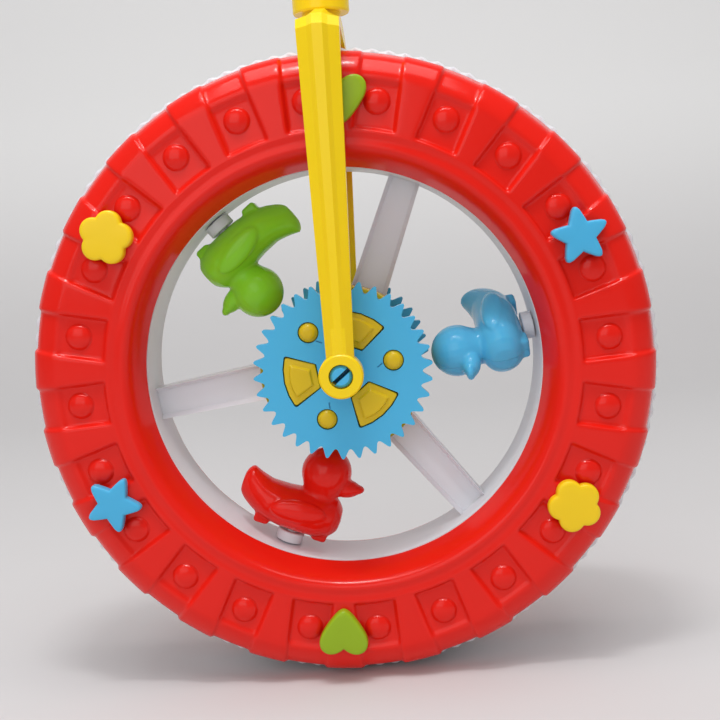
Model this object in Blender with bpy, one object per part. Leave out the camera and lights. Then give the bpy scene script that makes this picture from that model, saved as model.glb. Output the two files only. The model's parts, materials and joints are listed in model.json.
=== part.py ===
"""Push-along toy: a big spoked wheel with three spinning ducks, carried in a fork on a pole.

World frame: +Z up, the axle along Y, the front of the toy towards -Y. The wheel stands on
Z = 0 on one land of its tread, under the axle. Lengths are in metres.
"""

import math

import bmesh
import bpy
from mathutils import Matrix, Vector

MM = 0.001
CLEAR = 0.3 * MM            # gap between neighbouring pieces

# Wheel
HUB_LOBE_R = 26.2 * MM      # hub's reach over a spoke
DUCK_ROOM = 36.7 * MM       # hub's lobes to the hoop
HOOP_R = HUB_LOBE_R + DUCK_ROOM     # inner face of the hoop
RIM_BAND = 37.1 * MM        # hoop to the tread
TREAD_R = HOOP_R + RIM_BAND         # over the tips of the tread
TREAD_DEPTH = 1.3 * MM
TREAD_WALL = 2.6 * MM       # tread band under the serrations
TREAD_TEETH = 120
TREAD_LAND = 0.5            # share of a pitch that is flat land
CORE_HALF_W = 11.0 * MM     # white core, from the middle plane to its edge
WEB_HALF_T = 0.9 * MM
HOOP_WALL = 2.0 * MM
RING_STEPS = 48            # facets of the plain rings
WHEEL_PHASE = -3.6          # degrees, how far the wheel has rolled

# Spokes of the core
SPOKES = 3
SPOKE_ANGLE = 72.0
SPOKE_W_RIM = 10.2 * MM
SPOKE_W_HUB = 12.2 * MM
SPOKE_HALF_D = 4.0 * MM
SPOKE_WALL = 1.3 * MM
CORE_HUB_R = 13.0 * MM
CORE_BORE_R = 4.0 * MM

# Red covers
COVER_SHY = 1.5 * MM        # how far the tread stands proud of a cover
COVER_R = TREAD_R - COVER_SHY
COVER_LIP_BACK = 0.3 * MM   # how far a cover's lip stays behind the hoop's face
COVER_LIP_R = HOOP_R + COVER_LIP_BACK
COVER_BAND = COVER_R - COVER_LIP_R
COVER_HALF_W = 22.6 * MM    # middle plane to the top of the blocks
COVER_WALL = 2.2 * MM
PANELS = 24
PANEL_HALF_W = 6.2 * MM
PANEL_DRAFT = 0.5 * MM
PANEL_R_OUT = COVER_LIP_R + 0.714 * COVER_BAND
PANEL_R_IN = COVER_LIP_R + 0.323 * COVER_BAND
PANEL_DEPTH = 1.7 * MM
SCALLOP = 0.9 * MM          # how far the rim falls back beside a panel
DOME_RING_R = COVER_LIP_R + 0.558 * COVER_BAND
DOME_R = 0.283 * (PANEL_R_OUT - PANEL_R_IN)
DOME_H = 1.5 * MM
DOME_SIDES = 8
BEAD_R = COVER_LIP_R + 0.258 * COVER_BAND
BEAD_FOOT_R = COVER_LIP_R + 0.204 * COVER_BAND
COVE_R = COVER_LIP_R + 0.108 * COVER_BAND
BEAD_H = 0.8 * MM

# Badges
BADGES = 6                  # on each face
BADGE_RING_R = COVER_LIP_R + 0.567 * COVER_BAND
BADGE_T = 3.0 * MM
BADGE_ROUND = 0.8 * MM
BADGE_STEM_R = 2.0 * MM
HEART_W = 15.5 * MM
STAR_R = 9.0 * MM
STAR_INNER = 0.54
FLOWER_R = 8.4 * MM

# Hub and gears
GEAR_R = 28.2 * MM          # over the tips
GEAR_TOOTH_H = 3.2 * MM
GEAR_TEETH = 34
GEAR_T = 2.8 * MM
GEAR_FACE = 19.8 * MM       # middle plane to the gear's outer face
SECTOR_R_IN = 8.3 * MM
SECTOR_R_OUT = 18.9 * MM
SECTOR_HALF = 26.5          # degrees
SPOT_RING_R = 16.1 * MM
SPOT_R = 3.3 * MM
PAD_RISE = 0.8 * MM         # pads and spots stand proud of the gear
HUB_DISC_R = 21.0 * MM
HUB_LOBE_HALF = 17.0        # degrees
HUB_WALL = 2.4 * MM
BOSS_R = 5.4 * MM
PIN_R = 2.9 * MM
PIN_SLOT = 1.3 * MM
PIN_SLOT_ANGLE = 43.0
BARB = 0.5 * MM

# Ducks
DUCK_ANGLE = 12.0
POST_R = 4.5 * MM
POST_H = 3.9 * MM
POST_PIN_R = 2.0 * MM
POST_HEAD_R = 3.2 * MM
POST_HEAD_LOW = 12.6 * MM   # hoop face to the underside of the post's head
POST_HEAD_T = 2.0 * MM
DUCK_BASE = 3.6 * MM        # hoop face to the underside of the feet
DUCK_HEAD_AT = (5.2 * MM, 26.3 * MM)
DUCK_SIDES = 12
DUCK_STATIONS = (           # body, in mm: forward, underside, back, half width
    (-20.6, 13.0, 16.0, 1.4),
    (-20.1, 11.4, 18.9, 2.8),
    (-18.3, 9.4, 21.2, 4.4),
    (-15.2, 7.2, 19.8, 6.4),
    (-11.0, 5.4, 18.6, 8.3),
    (-5.0, 4.5, 18.6, 9.9),
    (2.0, 4.3, 19.4, 10.4),
    (8.0, 4.5, 19.5, 9.6),
    (12.0, 5.8, 18.5, 7.2),
    (14.0, 8.0, 16.0, 4.0),
    (14.6, 10.0, 13.6, 1.6),
)
DUCK_HEAD = (               # head and neck, in mm: radius, height over the head's middle
    (6.2, -9.4),
    (6.0, -7.0),
    (7.4, -4.2),
    (8.4, 0.0),
    (7.5, 4.0),
    (5.0, 6.9),
    (1.8, 8.2),
)
BEAK_SIZE = (4.9 * MM, 3.8 * MM, 2.5 * MM)
BEAK_AT = (8.8 * MM, -3.3 * MM)     # from the head's middle: forward, up
BEAK_TILT = 15.0            # degrees, nose up
DUCK_FEET = ((-13.4 * MM, -8.3 * MM), (6.8 * MM, 11.8 * MM))
FOOT_TOP = 10.0 * MM
FOOT_HALF_W = 2.9 * MM

# Fork and handle
BADGE_CLEAR = 1.3 * MM      # badge's face to the fork
FORK_GAP_HALF = COVER_HALF_W + CLEAR + BADGE_T + BADGE_CLEAR    # middle plane to an arm's inner face
ARM_T = 7.3 * MM
ARM_EDGE = 0.60             # of an arm's thickness, where its outer facets start
ARM_FACET = 0.78
ARM_RIDGE = 0.945
ARM_W_EYE = 8.2 * MM
ARM_W_TOP = 12.9 * MM
EYE_R = 6.8 * MM
CROWN_CLEAR = 3.4 * MM      # tread to the underside of the crown
CROWN_UNDER = TREAD_R + CROWN_CLEAR
CROWN_T = 9.2 * MM          # crown's thickness under the socket
CROWN_FALL = 3.6 * MM       # how far the crown's shoulder stands over the bend
SOCKET_RIM = 9.2 * MM       # crown's underside to the socket's collar
SOCKET_FOOT = 4.0 * MM      # plain foot under the collar
SOCKET_R = 9.0 * MM
SOCKET_H = 30.0 * MM        # collar to the socket's mouth
SOCKET_DEEP = 26.0 * MM
POLE_R = 6.8 * MM
POLE_WALL = 1.4 * MM
POLE_LEN = 105.0 * MM       # free length of each pole tube
COUPLING_R = 9.2 * MM
COUPLING_LEN = 36.0 * MM
GRIP_R = 12.0 * MM
GRIP_LEN = 92.0 * MM
GRIP_RINGS = 5
CAP_H = 10.0 * MM

RED = (0.80, 0.02, 0.01)
BLUE = (0.07, 0.43, 0.76)
YELLOW = (0.96, 0.72, 0.01)
GREEN = (0.25, 0.57, 0.02)
WHITE = (0.75, 0.75, 0.77)

AXLE_Z = TREAD_R * math.cos(math.pi * TREAD_LAND / TREAD_TEETH)


def clear_scene():
    for old in list(bpy.data.objects):
        bpy.data.objects.remove(old, do_unlink=True)


def plastic(name, colour, roughness=0.3):
    material = bpy.data.materials.new(name)
    material.use_nodes = True
    shader = material.node_tree.nodes["Principled BSDF"]
    shader.inputs["Base Color"].default_value = (*colour, 1.0)
    shader.inputs["Roughness"].default_value = roughness
    shader.inputs["Metallic"].default_value = 0.0
    return material


def add_object(name, mesh):
    item = bpy.data.objects.new(name, mesh)
    bpy.context.scene.collection.objects.link(item)
    return item


def from_bmesh(name, work):
    bmesh.ops.recalc_face_normals(work, faces=work.faces)
    mesh = bpy.data.meshes.new(name)
    work.to_mesh(mesh)
    work.free()
    return add_object(name, mesh)


def boolean(target, tool, operation):
    """Cut or join two objects and drop the second one."""
    step = target.modifiers.new(operation.lower(), "BOOLEAN")
    step.operation = operation
    step.solver = "EXACT"
    step.object = tool
    graph = bpy.context.evaluated_depsgraph_get()
    result = bpy.data.meshes.new_from_object(target.evaluated_get(graph))
    target.modifiers.clear()
    target.data = result
    bpy.data.objects.remove(tool, do_unlink=True)
    return target


def cut(target, tool):
    return boolean(target, tool, "DIFFERENCE")


def fuse(target, tool):
    return boolean(target, tool, "UNION")


def finish(item, colour, roughness=0.3, parent=None, sharp=35.0):
    """Give a piece its plastic, its shading and its parent."""
    item.data.materials.clear()
    item.data.materials.append(plastic(item.name, colour, roughness))
    item.data.shade_smooth()
    item.data.set_sharp_from_angle(angle=math.radians(sharp))
    if parent is not None:
        item.parent = parent
    return item


def on_circle(radius, angle):
    turn = math.radians(angle)
    return radius * math.cos(turn), radius * math.sin(turn)


def lathe(name, profile, steps):
    """Turn a closed outline of (radius, depth) points about the Y axis."""
    work = bmesh.new()
    rings = []
    for step in range(steps):
        turn = math.tau * step / steps
        rings.append([work.verts.new((r * math.cos(turn), -d, r * math.sin(turn))) for r, d in profile])
    count = len(profile)
    for step in range(steps):
        here, there = rings[step], rings[(step + 1) % steps]
        for index in range(count):
            after = (index + 1) % count
            work.faces.new((here[index], there[index], there[after], here[after]))
    return from_bmesh(name, work)


def plate(name, outline, low, high):
    """A flat plate: an outline of (x, z) points from depth low to depth high."""
    work = bmesh.new()
    back = [work.verts.new((x, -low, z)) for x, z in outline]
    front = [work.verts.new((x, -high, z)) for x, z in outline]
    work.faces.new(back)
    work.faces.new(front)
    for index in range(len(outline)):
        after = (index + 1) % len(outline)
        work.faces.new((back[index], back[after], front[after], front[index]))
    return from_bmesh(name, work)


def stack(name, sections):
    """Bridge a list of closed rings of points and cap both ends."""
    work = bmesh.new()
    rings = [[work.verts.new(point) for point in ring] for ring in sections]
    for lower, upper in zip(rings, rings[1:]):
        for index in range(len(lower)):
            after = (index + 1) % len(lower)
            work.faces.new((lower[index], lower[after], upper[after], upper[index]))
    work.faces.new(rings[0])
    work.faces.new(rings[-1])
    return from_bmesh(name, work)


def turned(name, profile, sides, place=None):
    """A solid pin turned about its own Z axis from (radius, height) points, low to high."""
    sections = []
    for radius, height in profile:
        ring = []
        for side in range(sides):
            turn = math.tau * side / sides
            ring.append(Vector((radius * math.cos(turn), radius * math.sin(turn), height)))
        sections.append(ring)
    item = stack(name, sections)
    if place is not None:
        item.data.transform(place)
    return item


def along_axle(side):
    """Turn a pin's Z axis into the outward axle direction of one side (1 front, -1 rear)."""
    return Matrix.Rotation(math.radians(90.0 * side), 4, "X")


def radial_frame(angle):
    """A frame at the axle whose Z axis points outward at an angle seen from the front."""
    turn = math.radians(angle)
    outward = Vector((math.cos(turn), 0.0, math.sin(turn)))
    sideways = Vector((math.sin(turn), 0.0, -math.cos(turn)))
    depth = outward.cross(sideways)
    frame = Matrix.Identity(4)
    for row in range(3):
        frame[row][0] = sideways[row]
        frame[row][1] = depth[row]
        frame[row][2] = outward[row]
    return frame


def wheel_axis():
    axis = bpy.data.objects.new("wheel_axis", None)
    axis.location = (0.0, 0.0, AXLE_Z)
    axis.rotation_euler = (0.0, -math.radians(WHEEL_PHASE), 0.0)
    bpy.context.scene.collection.objects.link(axis)
    return axis


def tread_ring():
    """The serrated band, with one land straight under the axle."""
    pitch = 360.0 / TREAD_TEETH
    start = 270.0 - WHEEL_PHASE
    root = TREAD_R - TREAD_DEPTH
    outer = []
    for tooth in range(TREAD_TEETH):
        middle = start + tooth * pitch
        outer.append(on_circle(TREAD_R, middle - TREAD_LAND * pitch / 2))
        outer.append(on_circle(TREAD_R, middle + TREAD_LAND * pitch / 2))
        outer.append(on_circle(root, middle + pitch / 2))
    band = plate("wheel_core", outer, -CORE_HALF_W, CORE_HALF_W)
    inner_r = root - TREAD_WALL
    hollow = [on_circle(inner_r, start + 360.0 * step / RING_STEPS) for step in range(RING_STEPS)]
    return cut(band, plate("tread_hollow", hollow, -2 * CORE_HALF_W, 2 * CORE_HALF_W))


def hoop_and_web():
    """The inner hoop and the thin web that joins it to the tread band."""
    into_band = TREAD_R - TREAD_DEPTH - TREAD_WALL / 2
    out = HOOP_R + HOOP_WALL
    profile = [
        (into_band, WEB_HALF_T),
        (out, WEB_HALF_T),
        (out, CORE_HALF_W),
        (HOOP_R, CORE_HALF_W),
        (HOOP_R, -CORE_HALF_W),
        (out, -CORE_HALF_W),
        (out, -WEB_HALF_T),
        (into_band, -WEB_HALF_T),
    ]
    return lathe("hoop", profile, RING_STEPS)


def spoke(angle):
    """One tapered spoke, channelled on both faces."""
    inner, outer = CORE_HUB_R - 2 * MM, HOOP_R + HOOP_WALL / 2
    half_in, half_out = SPOKE_W_HUB / 2, SPOKE_W_RIM / 2
    outline = [(inner, -half_in), (outer, -half_out), (outer, half_out), (inner, half_in)]
    body = plate("spoke", outline, -SPOKE_HALF_D, SPOKE_HALF_D)
    wall = SPOKE_WALL
    floor_in, floor_out = CORE_HUB_R + wall, HOOP_R - wall
    channel = [
        (floor_in, wall - half_in),
        (floor_out, wall - half_out),
        (floor_out, half_out - wall),
        (floor_in, half_in - wall),
    ]
    for low, high in ((WEB_HALF_T, 2 * SPOKE_HALF_D), (-2 * SPOKE_HALF_D, -WEB_HALF_T)):
        cut(body, plate("channel", channel, low, high))
    body.data.transform(Matrix.Rotation(-math.radians(angle), 4, "Y"))
    return body


def wheel_core(parent):
    core = fuse(tread_ring(), hoop_and_web())
    hub_half = GEAR_FACE - GEAR_T - HUB_WALL - 2 * CLEAR
    hub = lathe("core_hub", [
        (CORE_HUB_R, hub_half), (CORE_BORE_R, hub_half), (CORE_BORE_R, -hub_half), (CORE_HUB_R, -hub_half),
    ], 24)
    for index in range(SPOKES):
        fuse(hub, spoke(SPOKE_ANGLE + 360.0 / SPOKES * index))
    fuse(core, hub)
    for index in range(SPOKES):
        frame = radial_frame(DUCK_ANGLE + 360.0 / SPOKES * index)
        hole = turned("post_hole", [
            (POST_PIN_R + CLEAR, HOOP_R - 2 * MM), (POST_PIN_R + CLEAR, HOOP_R + HOOP_WALL + 1.5 * MM),
        ], 10, frame)
        cut(core, hole)
    return finish(core, WHITE, 0.35, parent)


def cover_section():
    """The cover's section, front to back, as (radius, depth) points.

    The first group differs between a block and a panel, the second is the same all round.
    """
    back = CORE_HALF_W + CLEAR
    face = COVER_HALF_W
    floor = face - PANEL_DEPTH
    rim_top = back + 2.9 * MM
    shoulder_r, shoulder_d = COVER_R - 2.6 * MM, face - 3.2 * MM
    edge = PANEL_R_OUT + 1.0 * MM
    on_block = [
        (COVER_R, rim_top),
        (shoulder_r, shoulder_d),
        (edge, face),
        (PANEL_R_OUT, face),
        (PANEL_R_IN, face),
    ]
    in_panel = [
        (COVER_R - SCALLOP, rim_top),
        (shoulder_r - SCALLOP, shoulder_d - SCALLOP / 2),
        (edge, face - SCALLOP),
        (PANEL_R_OUT, floor),
        (PANEL_R_IN, floor),
    ]
    roof = floor - COVER_WALL + 0.5 * MM
    around = [
        (BEAD_R, face + BEAD_H),
        (BEAD_FOOT_R, face - 0.6 * MM),
        (COVE_R, back + 5.4 * MM),
        (COVER_LIP_R, back + 0.8 * MM),
        (COVER_LIP_R, back),
        (COVER_LIP_R + COVER_WALL + 0.4 * MM, back),
        (BEAD_FOOT_R + COVER_WALL, roof),
        (PANEL_R_OUT, roof),
        (COVER_R - COVER_WALL, back),
        (COVER_R, back),
    ]
    return on_block, in_panel, around


def dome_on(work, corners, centre, floor):
    """Fill one panel floor, whose corners run round the panel, with a low round dome."""
    rings = []
    for share, height in ((1.0, 0.0), (0.68, 0.68)):
        ring = []
        for side in range(DOME_SIDES):
            x, z = on_circle(share * DOME_R, 360.0 * side / DOME_SIDES)
            ring.append(work.verts.new((centre[0] + x, -(floor + height * DOME_H), centre[1] + z)))
        rings.append(ring)
    top = work.verts.new((centre[0], -(floor + DOME_H), centre[1]))
    foot, crown = rings
    for side in range(DOME_SIDES):
        after = (side + 1) % DOME_SIDES
        work.faces.new((foot[side], foot[after], crown[after], crown[side]))
        work.faces.new((crown[side], crown[after], top))
    edges = []
    for loop in (corners, foot):
        for index, start in enumerate(loop):
            pair = (start, loop[(index + 1) % len(loop)])
            edges.append(work.edges.get(pair) or work.edges.new(pair))
    bmesh.ops.triangle_fill(work, edges=edges, use_beauty=True)


def wheel_point(radius, depth, turn):
    return radius * math.cos(turn), -depth, radius * math.sin(turn)


def cover(name, side, parent):
    """A moulded ring of blocks and panels, open at the back; side is 1 front, -1 rear."""
    on_block, in_panel, around = cover_section()
    work = bmesh.new()
    fine, plain = [], []
    quarter = math.tau / PANELS / 4
    for panel in range(PANELS):
        middle = math.tau * (panel + 0.5) / PANELS
        for sign, draft, section in ((-1, 1, on_block), (-1, 0, in_panel), (1, 0, in_panel), (1, 1, on_block)):
            half = PANEL_HALF_W + draft * PANEL_DRAFT
            turns = [middle + sign * math.asin(half / r) for r, d in section]
            fine.append([work.verts.new(wheel_point(r, d, turn)) for (r, d), turn in zip(section, turns)])
        for sign in (-1, 1):
            plain.append([work.verts.new(wheel_point(r, d, middle + sign * quarter)) for r, d in around])
    floor_row = len(on_block) - 2
    floor = in_panel[floor_row][1]
    for index, here in enumerate(fine):
        there = fine[(index + 1) % len(fine)]
        for row in range(len(on_block) - 1):
            corners = (here[row], there[row], there[row + 1], here[row + 1])
            if index % 4 == 1 and row == floor_row:
                middle = 360.0 * (index // 4 + 0.5) / PANELS
                dome_on(work, corners, on_circle(DOME_RING_R, middle), floor)
            else:
                work.faces.new(corners)
    for index, here in enumerate(plain):
        there = plain[(index + 1) % len(plain)]
        for row in range(len(around) - 1):
            work.faces.new((here[row], there[row], there[row + 1], here[row + 1]))
    for panel in range(PANELS):
        across = fine[4 * panel:4 * panel + 4]
        left, right = plain[2 * panel], plain[2 * panel + 1]
        next_fine, next_plain = fine[(4 * panel + 4) % len(fine)], plain[(2 * panel + 2) % len(plain)]
        for fine_row, plain_row in ((-1, 0), (0, -1)):
            rim = [column[fine_row] for column in across]
            work.faces.new((rim[0], rim[1], left[plain_row]))
            work.faces.new((rim[1], rim[2], right[plain_row], left[plain_row]))
            work.faces.new((rim[2], rim[3], right[plain_row]))
            work.faces.new((rim[3], next_fine[fine_row], next_plain[plain_row], right[plain_row]))
    item = from_bmesh(name, work)
    for index in range(BADGES):
        x, z = on_circle(BADGE_RING_R, 30.0 + 360.0 / BADGES * index)
        place = Matrix.Translation((x, 0.0, z)) @ along_axle(1)
        socket_r = BADGE_STEM_R + CLEAR
        cut(item, turned("stem_hole", [(socket_r, CORE_HALF_W), (socket_r, COVER_HALF_W + BADGE_T)], 8, place))
    if side < 0:
        turn_to_rear(item)
    return finish(item, RED, 0.28, parent)


def turn_to_rear(item):
    """Mirror a piece through its middle plane."""
    item.data.transform(Matrix.Scale(-1.0, 4, (0.0, 1.0, 0.0)))
    item.data.flip_normals()


def heart_outline():
    """A rounded heart in its own plane: point down, lobes up."""
    lobe = HEART_W / 4 * 1.06
    centre_x, centre_y = HEART_W / 2 - lobe, 0.11 * HEART_W
    tip_half, tip = 0.06 * HEART_W, -0.46 * HEART_W
    right = [(tip_half, tip)]
    for angle in range(-30, 151, 30):
        x, y = on_circle(lobe, angle)
        right.append((centre_x + x, centre_y + y))
    notch = (0.0, centre_y + lobe * 0.45)
    left = [(-x, y) for x, y in reversed(right)]
    return right + [notch] + left


def star_outline():
    """A five-pointed star with blunt tips, one tip up."""
    points = []
    for index in range(5):
        turn = 90.0 + 72.0 * index
        points.append(on_circle(STAR_R * 0.97, turn - 4.0))
        points.append(on_circle(STAR_R * 0.97, turn + 4.0))
        points.append(on_circle(STAR_R * STAR_INNER, turn + 36.0))
    return points


def flower_outline():
    points = []
    petal_r = FLOWER_R * 0.39
    petal_at = FLOWER_R - petal_r
    for petal in range(5):
        turn = 90.0 + 72.0 * petal
        cx, cy = on_circle(petal_at, turn)
        for swing in range(-100, 101, 50):
            x, y = on_circle(petal_r, turn + swing)
            points.append((cx + x, cy + y))
    return points


def badge(name, outline, colour, angle, side, parent):
    """A snapped-in badge: a rounded plate and the stem behind it."""
    under = COVER_HALF_W + CLEAR
    inset = 1.0 - BADGE_ROUND / (HEART_W / 2)
    levels = [(1.0, under), (1.0, under + BADGE_T - BADGE_ROUND), (inset, under + BADGE_T)]
    sections = []
    for share, depth in levels:
        sections.append([Vector((share * x, -depth, share * y)) for x, y in outline])
    item = stack(name, sections)
    stem = turned("stem", [
        (BADGE_STEM_R, under - PANEL_DEPTH - 1.0 * MM), (BADGE_STEM_R, under + BADGE_T / 2),
    ], 8, along_axle(1))
    fuse(item, stem)
    item.data.transform(Matrix.Rotation(-math.radians(angle - 90.0), 4, "Y"))
    x, z = on_circle(BADGE_RING_R, angle)
    item.data.transform(Matrix.Translation((x, 0.0, z)))
    if side < 0:
        turn_to_rear(item)
    return finish(item, colour, 0.28, parent)


def badges(parent):
    kinds = (
        ("heart", heart_outline(), GREEN, 90.0),
        ("star", star_outline(), BLUE, 30.0),
        ("flower", flower_outline(), YELLOW, 150.0),
    )
    for side, where in ((1, "front"), (-1, "rear")):
        for kind, outline, colour, angle in kinds:
            badge(f"{kind}_a_{where}", outline, colour, angle, side, parent)
            badge(f"{kind}_b_{where}", outline, colour, angle + 180.0, side, parent)


def sector_outline(grow):
    """A window or pad between two radii, its corners clipped round."""
    inner, outer = SECTOR_R_IN - grow, SECTOR_R_OUT + grow
    half = SECTOR_HALF + math.degrees(grow / ((inner + outer) / 2))
    corner = 2.2
    points = [on_circle(inner, -half * 0.72), on_circle(inner, half * 0.72)]
    points.append(on_circle(inner + 1.6 * MM, half))
    points.append(on_circle(outer - 1.6 * MM, half))
    points.append(on_circle(outer - 0.4 * MM, half - corner))
    for step in (0.55, 0.0, -0.55):
        points.append(on_circle(outer, half * step))
    points.append(on_circle(outer - 0.4 * MM, corner - half))
    points.append(on_circle(outer - 1.6 * MM, -half))
    points.append(on_circle(inner + 1.6 * MM, -half))
    return points


def turned_outline(outline, angle):
    turn = math.radians(angle)
    cos, sin = math.cos(turn), math.sin(turn)
    return [(x * cos - z * sin, x * sin + z * cos) for x, z in outline]


def gear_outline():
    points = []
    pitch = 360.0 / GEAR_TEETH
    root = GEAR_R - GEAR_TOOTH_H
    for tooth in range(GEAR_TEETH):
        middle = 90.0 + tooth * pitch
        points.append(on_circle(root, middle - pitch * 0.40))
        points.append(on_circle(GEAR_R - 0.3 * MM, middle - pitch * 0.11))
        points.append(on_circle(GEAR_R - 0.3 * MM, middle + pitch * 0.11))
        points.append(on_circle(root, middle + pitch * 0.40))
    return points


def gear(name, side, parent):
    """A toothed plate with windows, its boss and the split pin that holds the fork's eye."""
    low, high = GEAR_FACE - GEAR_T, GEAR_FACE
    item = plate(name, gear_outline(), low, high)
    for index in range(SPOKES):
        step = 360.0 / SPOKES * index
        window = turned_outline(sector_outline(0.0), SPOKE_ANGLE + step)
        cut(item, plate("window", window, 0.0, 2 * high))
        x, z = on_circle(SPOT_RING_R, DUCK_ANGLE + step)
        place = Matrix.Translation((x, 0.0, z)) @ along_axle(1)
        cut(item, turned("spot_hole", [(SPOT_R, 0.0), (SPOT_R, 2 * high)], 12, place))
    eye_in = FORK_GAP_HALF
    eye_out = FORK_GAP_HALF + ARM_T
    spigot_r = CORE_BORE_R - CLEAR
    pin = turned("split_pin", [
        (spigot_r, CLEAR / 2),
        (spigot_r, low + GEAR_T / 2),
        (BOSS_R, low + GEAR_T / 2),
        (BOSS_R, eye_in - CLEAR),
        (PIN_R, eye_in - CLEAR),
        (PIN_R, eye_out - 1.9 * MM),
        (PIN_R + BARB, eye_out - 1.3 * MM),
        (PIN_R - 0.4 * MM, eye_out - 0.1 * MM),
    ], 16, along_axle(1))
    slot_half = PIN_SLOT / 2
    slot = plate("slot", [
        (-2 * PIN_R, -slot_half), (2 * PIN_R, -slot_half), (2 * PIN_R, slot_half), (-2 * PIN_R, slot_half),
    ], eye_in - 2 * MM, eye_out + 2 * MM)
    slot.data.transform(Matrix.Rotation(-math.radians(PIN_SLOT_ANGLE), 4, "Y"))
    cut(pin, slot)
    fuse(item, pin)
    if side < 0:
        turn_to_rear(item)
    return finish(item, BLUE, 0.3, parent)


def hub_outline():
    """A disc with a lobe over each spoke."""
    points = []
    steps = 24
    for step in range(steps * SPOKES // 3):
        angle = 360.0 * step / steps
        nearest = min(abs((angle - 120.0 * k + 180.0) % 360.0 - 180.0) for k in range(SPOKES))
        radius = HUB_LOBE_R if nearest <= HUB_LOBE_HALF else HUB_DISC_R
        points.append(on_circle(radius, SPOKE_ANGLE + angle))
    return points


def hub_shell(name, side, parent):
    """The yellow hub: a lobed cup behind the gear whose pads fill the gear's windows."""
    under_gear = GEAR_FACE - GEAR_T - CLEAR
    low = SPOKE_HALF_D + CLEAR
    item = plate(name, hub_outline(), low, under_gear)
    hollow_r = HUB_DISC_R - HUB_WALL
    cup = turned("hub_hollow", [(hollow_r, 0.0), (hollow_r, under_gear - HUB_WALL)], 20, along_axle(1))
    cut(item, cup)
    cut(item, turned("hub_bore", [(CORE_BORE_R, 0.0), (CORE_BORE_R, 2 * GEAR_FACE)], 16, along_axle(1)))
    top = GEAR_FACE + PAD_RISE
    for index in range(SPOKES):
        step = 360.0 / SPOKES * index
        wide = turned_outline(sector_outline(-CLEAR), SPOKE_ANGLE + step)
        narrow = turned_outline(sector_outline(-CLEAR - 1.0 * MM), SPOKE_ANGLE + step)
        sections = [
            [Vector((x, -(under_gear - HUB_WALL / 2), z)) for x, z in wide],
            [Vector((x, -(GEAR_FACE - 0.4 * MM), z)) for x, z in wide],
            [Vector((x, -top, z)) for x, z in narrow],
        ]
        fuse(item, stack("pad", sections))
        x, z = on_circle(SPOT_RING_R, DUCK_ANGLE + step)
        place = Matrix.Translation((x, 0.0, z)) @ along_axle(1)
        spot_r = SPOT_R - CLEAR
        spot = turned("spot", [
            (spot_r, under_gear - HUB_WALL / 2), (spot_r, GEAR_FACE - 0.2 * MM), (spot_r * 0.6, top),
        ], 10, place)
        fuse(item, spot)
    if side < 0:
        turn_to_rear(item)
    return finish(item, YELLOW, 0.3, parent)


def duck_post(name, angle, parent):
    """The white post that a duck turns on, pressed into the hoop from inside."""
    frame = radial_frame(angle) @ Matrix.Translation((0.0, 0.0, HOOP_R)) @ Matrix.Rotation(math.pi, 4, "X")
    seat = 0.5 * MM
    item = turned(name, [
        (POST_PIN_R, -HOOP_WALL - 1.0 * MM),
        (POST_PIN_R, seat),
        (POST_R, seat),
        (POST_R, POST_H),
        (POST_PIN_R, POST_H),
        (POST_PIN_R, POST_HEAD_LOW),
        (POST_HEAD_R, POST_HEAD_LOW),
        (POST_PIN_R, POST_HEAD_LOW + POST_HEAD_T),
    ], 10, frame)
    return finish(item, WHITE, 0.35, parent)


def ball(name, radii, across, up):
    work = bmesh.new()
    bmesh.ops.create_uvsphere(work, u_segments=across, v_segments=up, radius=1.0)
    for vert in work.verts:
        vert.co = Vector((radii[i] * vert.co[i] for i in range(3)))
    return from_bmesh(name, work)


def duck_body():
    """The body, lofted from tail to chest through upright oval sections."""
    sections = []
    for forward, under, back, half_w in DUCK_STATIONS:
        middle, half_h = (back + under) / 2, (back - under) / 2
        ring = []
        for side in range(DUCK_SIDES):
            across, up = on_circle(1.0, 360.0 * (side + 0.5) / DUCK_SIDES)
            ring.append(Vector((forward, half_w * across, middle + half_h * up)) * MM)
        sections.append(ring)
    return stack("duck", sections)


def duck_solid():
    """A whole duck: X forward, Z up from the hoop's face, its bore round the post."""
    body = duck_body()
    head_x, head_z = DUCK_HEAD_AT
    head = turned("head", [(r * MM, head_z + h * MM) for r, h in DUCK_HEAD], DUCK_SIDES)
    head.data.transform(Matrix.Translation((head_x, 0.0, 0.0)))
    fuse(body, head)
    beak = ball("beak", BEAK_SIZE, 8, 4)
    beak.data.transform(Matrix.Rotation(-math.radians(BEAK_TILT), 4, "Y"))
    beak.data.transform(Matrix.Translation((head_x + BEAK_AT[0], 0.0, head_z + BEAK_AT[1])))
    fuse(body, beak)
    for low_x, high_x in DUCK_FEET:
        outline = [(low_x, DUCK_BASE), (high_x, DUCK_BASE), (high_x, FOOT_TOP), (low_x, FOOT_TOP)]
        fuse(body, plate("foot", outline, -FOOT_HALF_W, FOOT_HALF_W))
    bore_r = POST_PIN_R + CLEAR
    pocket_r = POST_HEAD_R + CLEAR
    bore = turned("bore", [
        (bore_r, 0.0),
        (bore_r, POST_HEAD_LOW - CLEAR),
        (pocket_r, POST_HEAD_LOW - CLEAR),
        (pocket_r, POST_HEAD_LOW + POST_HEAD_T + CLEAR),
    ], 10)
    cut(body, bore)
    return body


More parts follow.
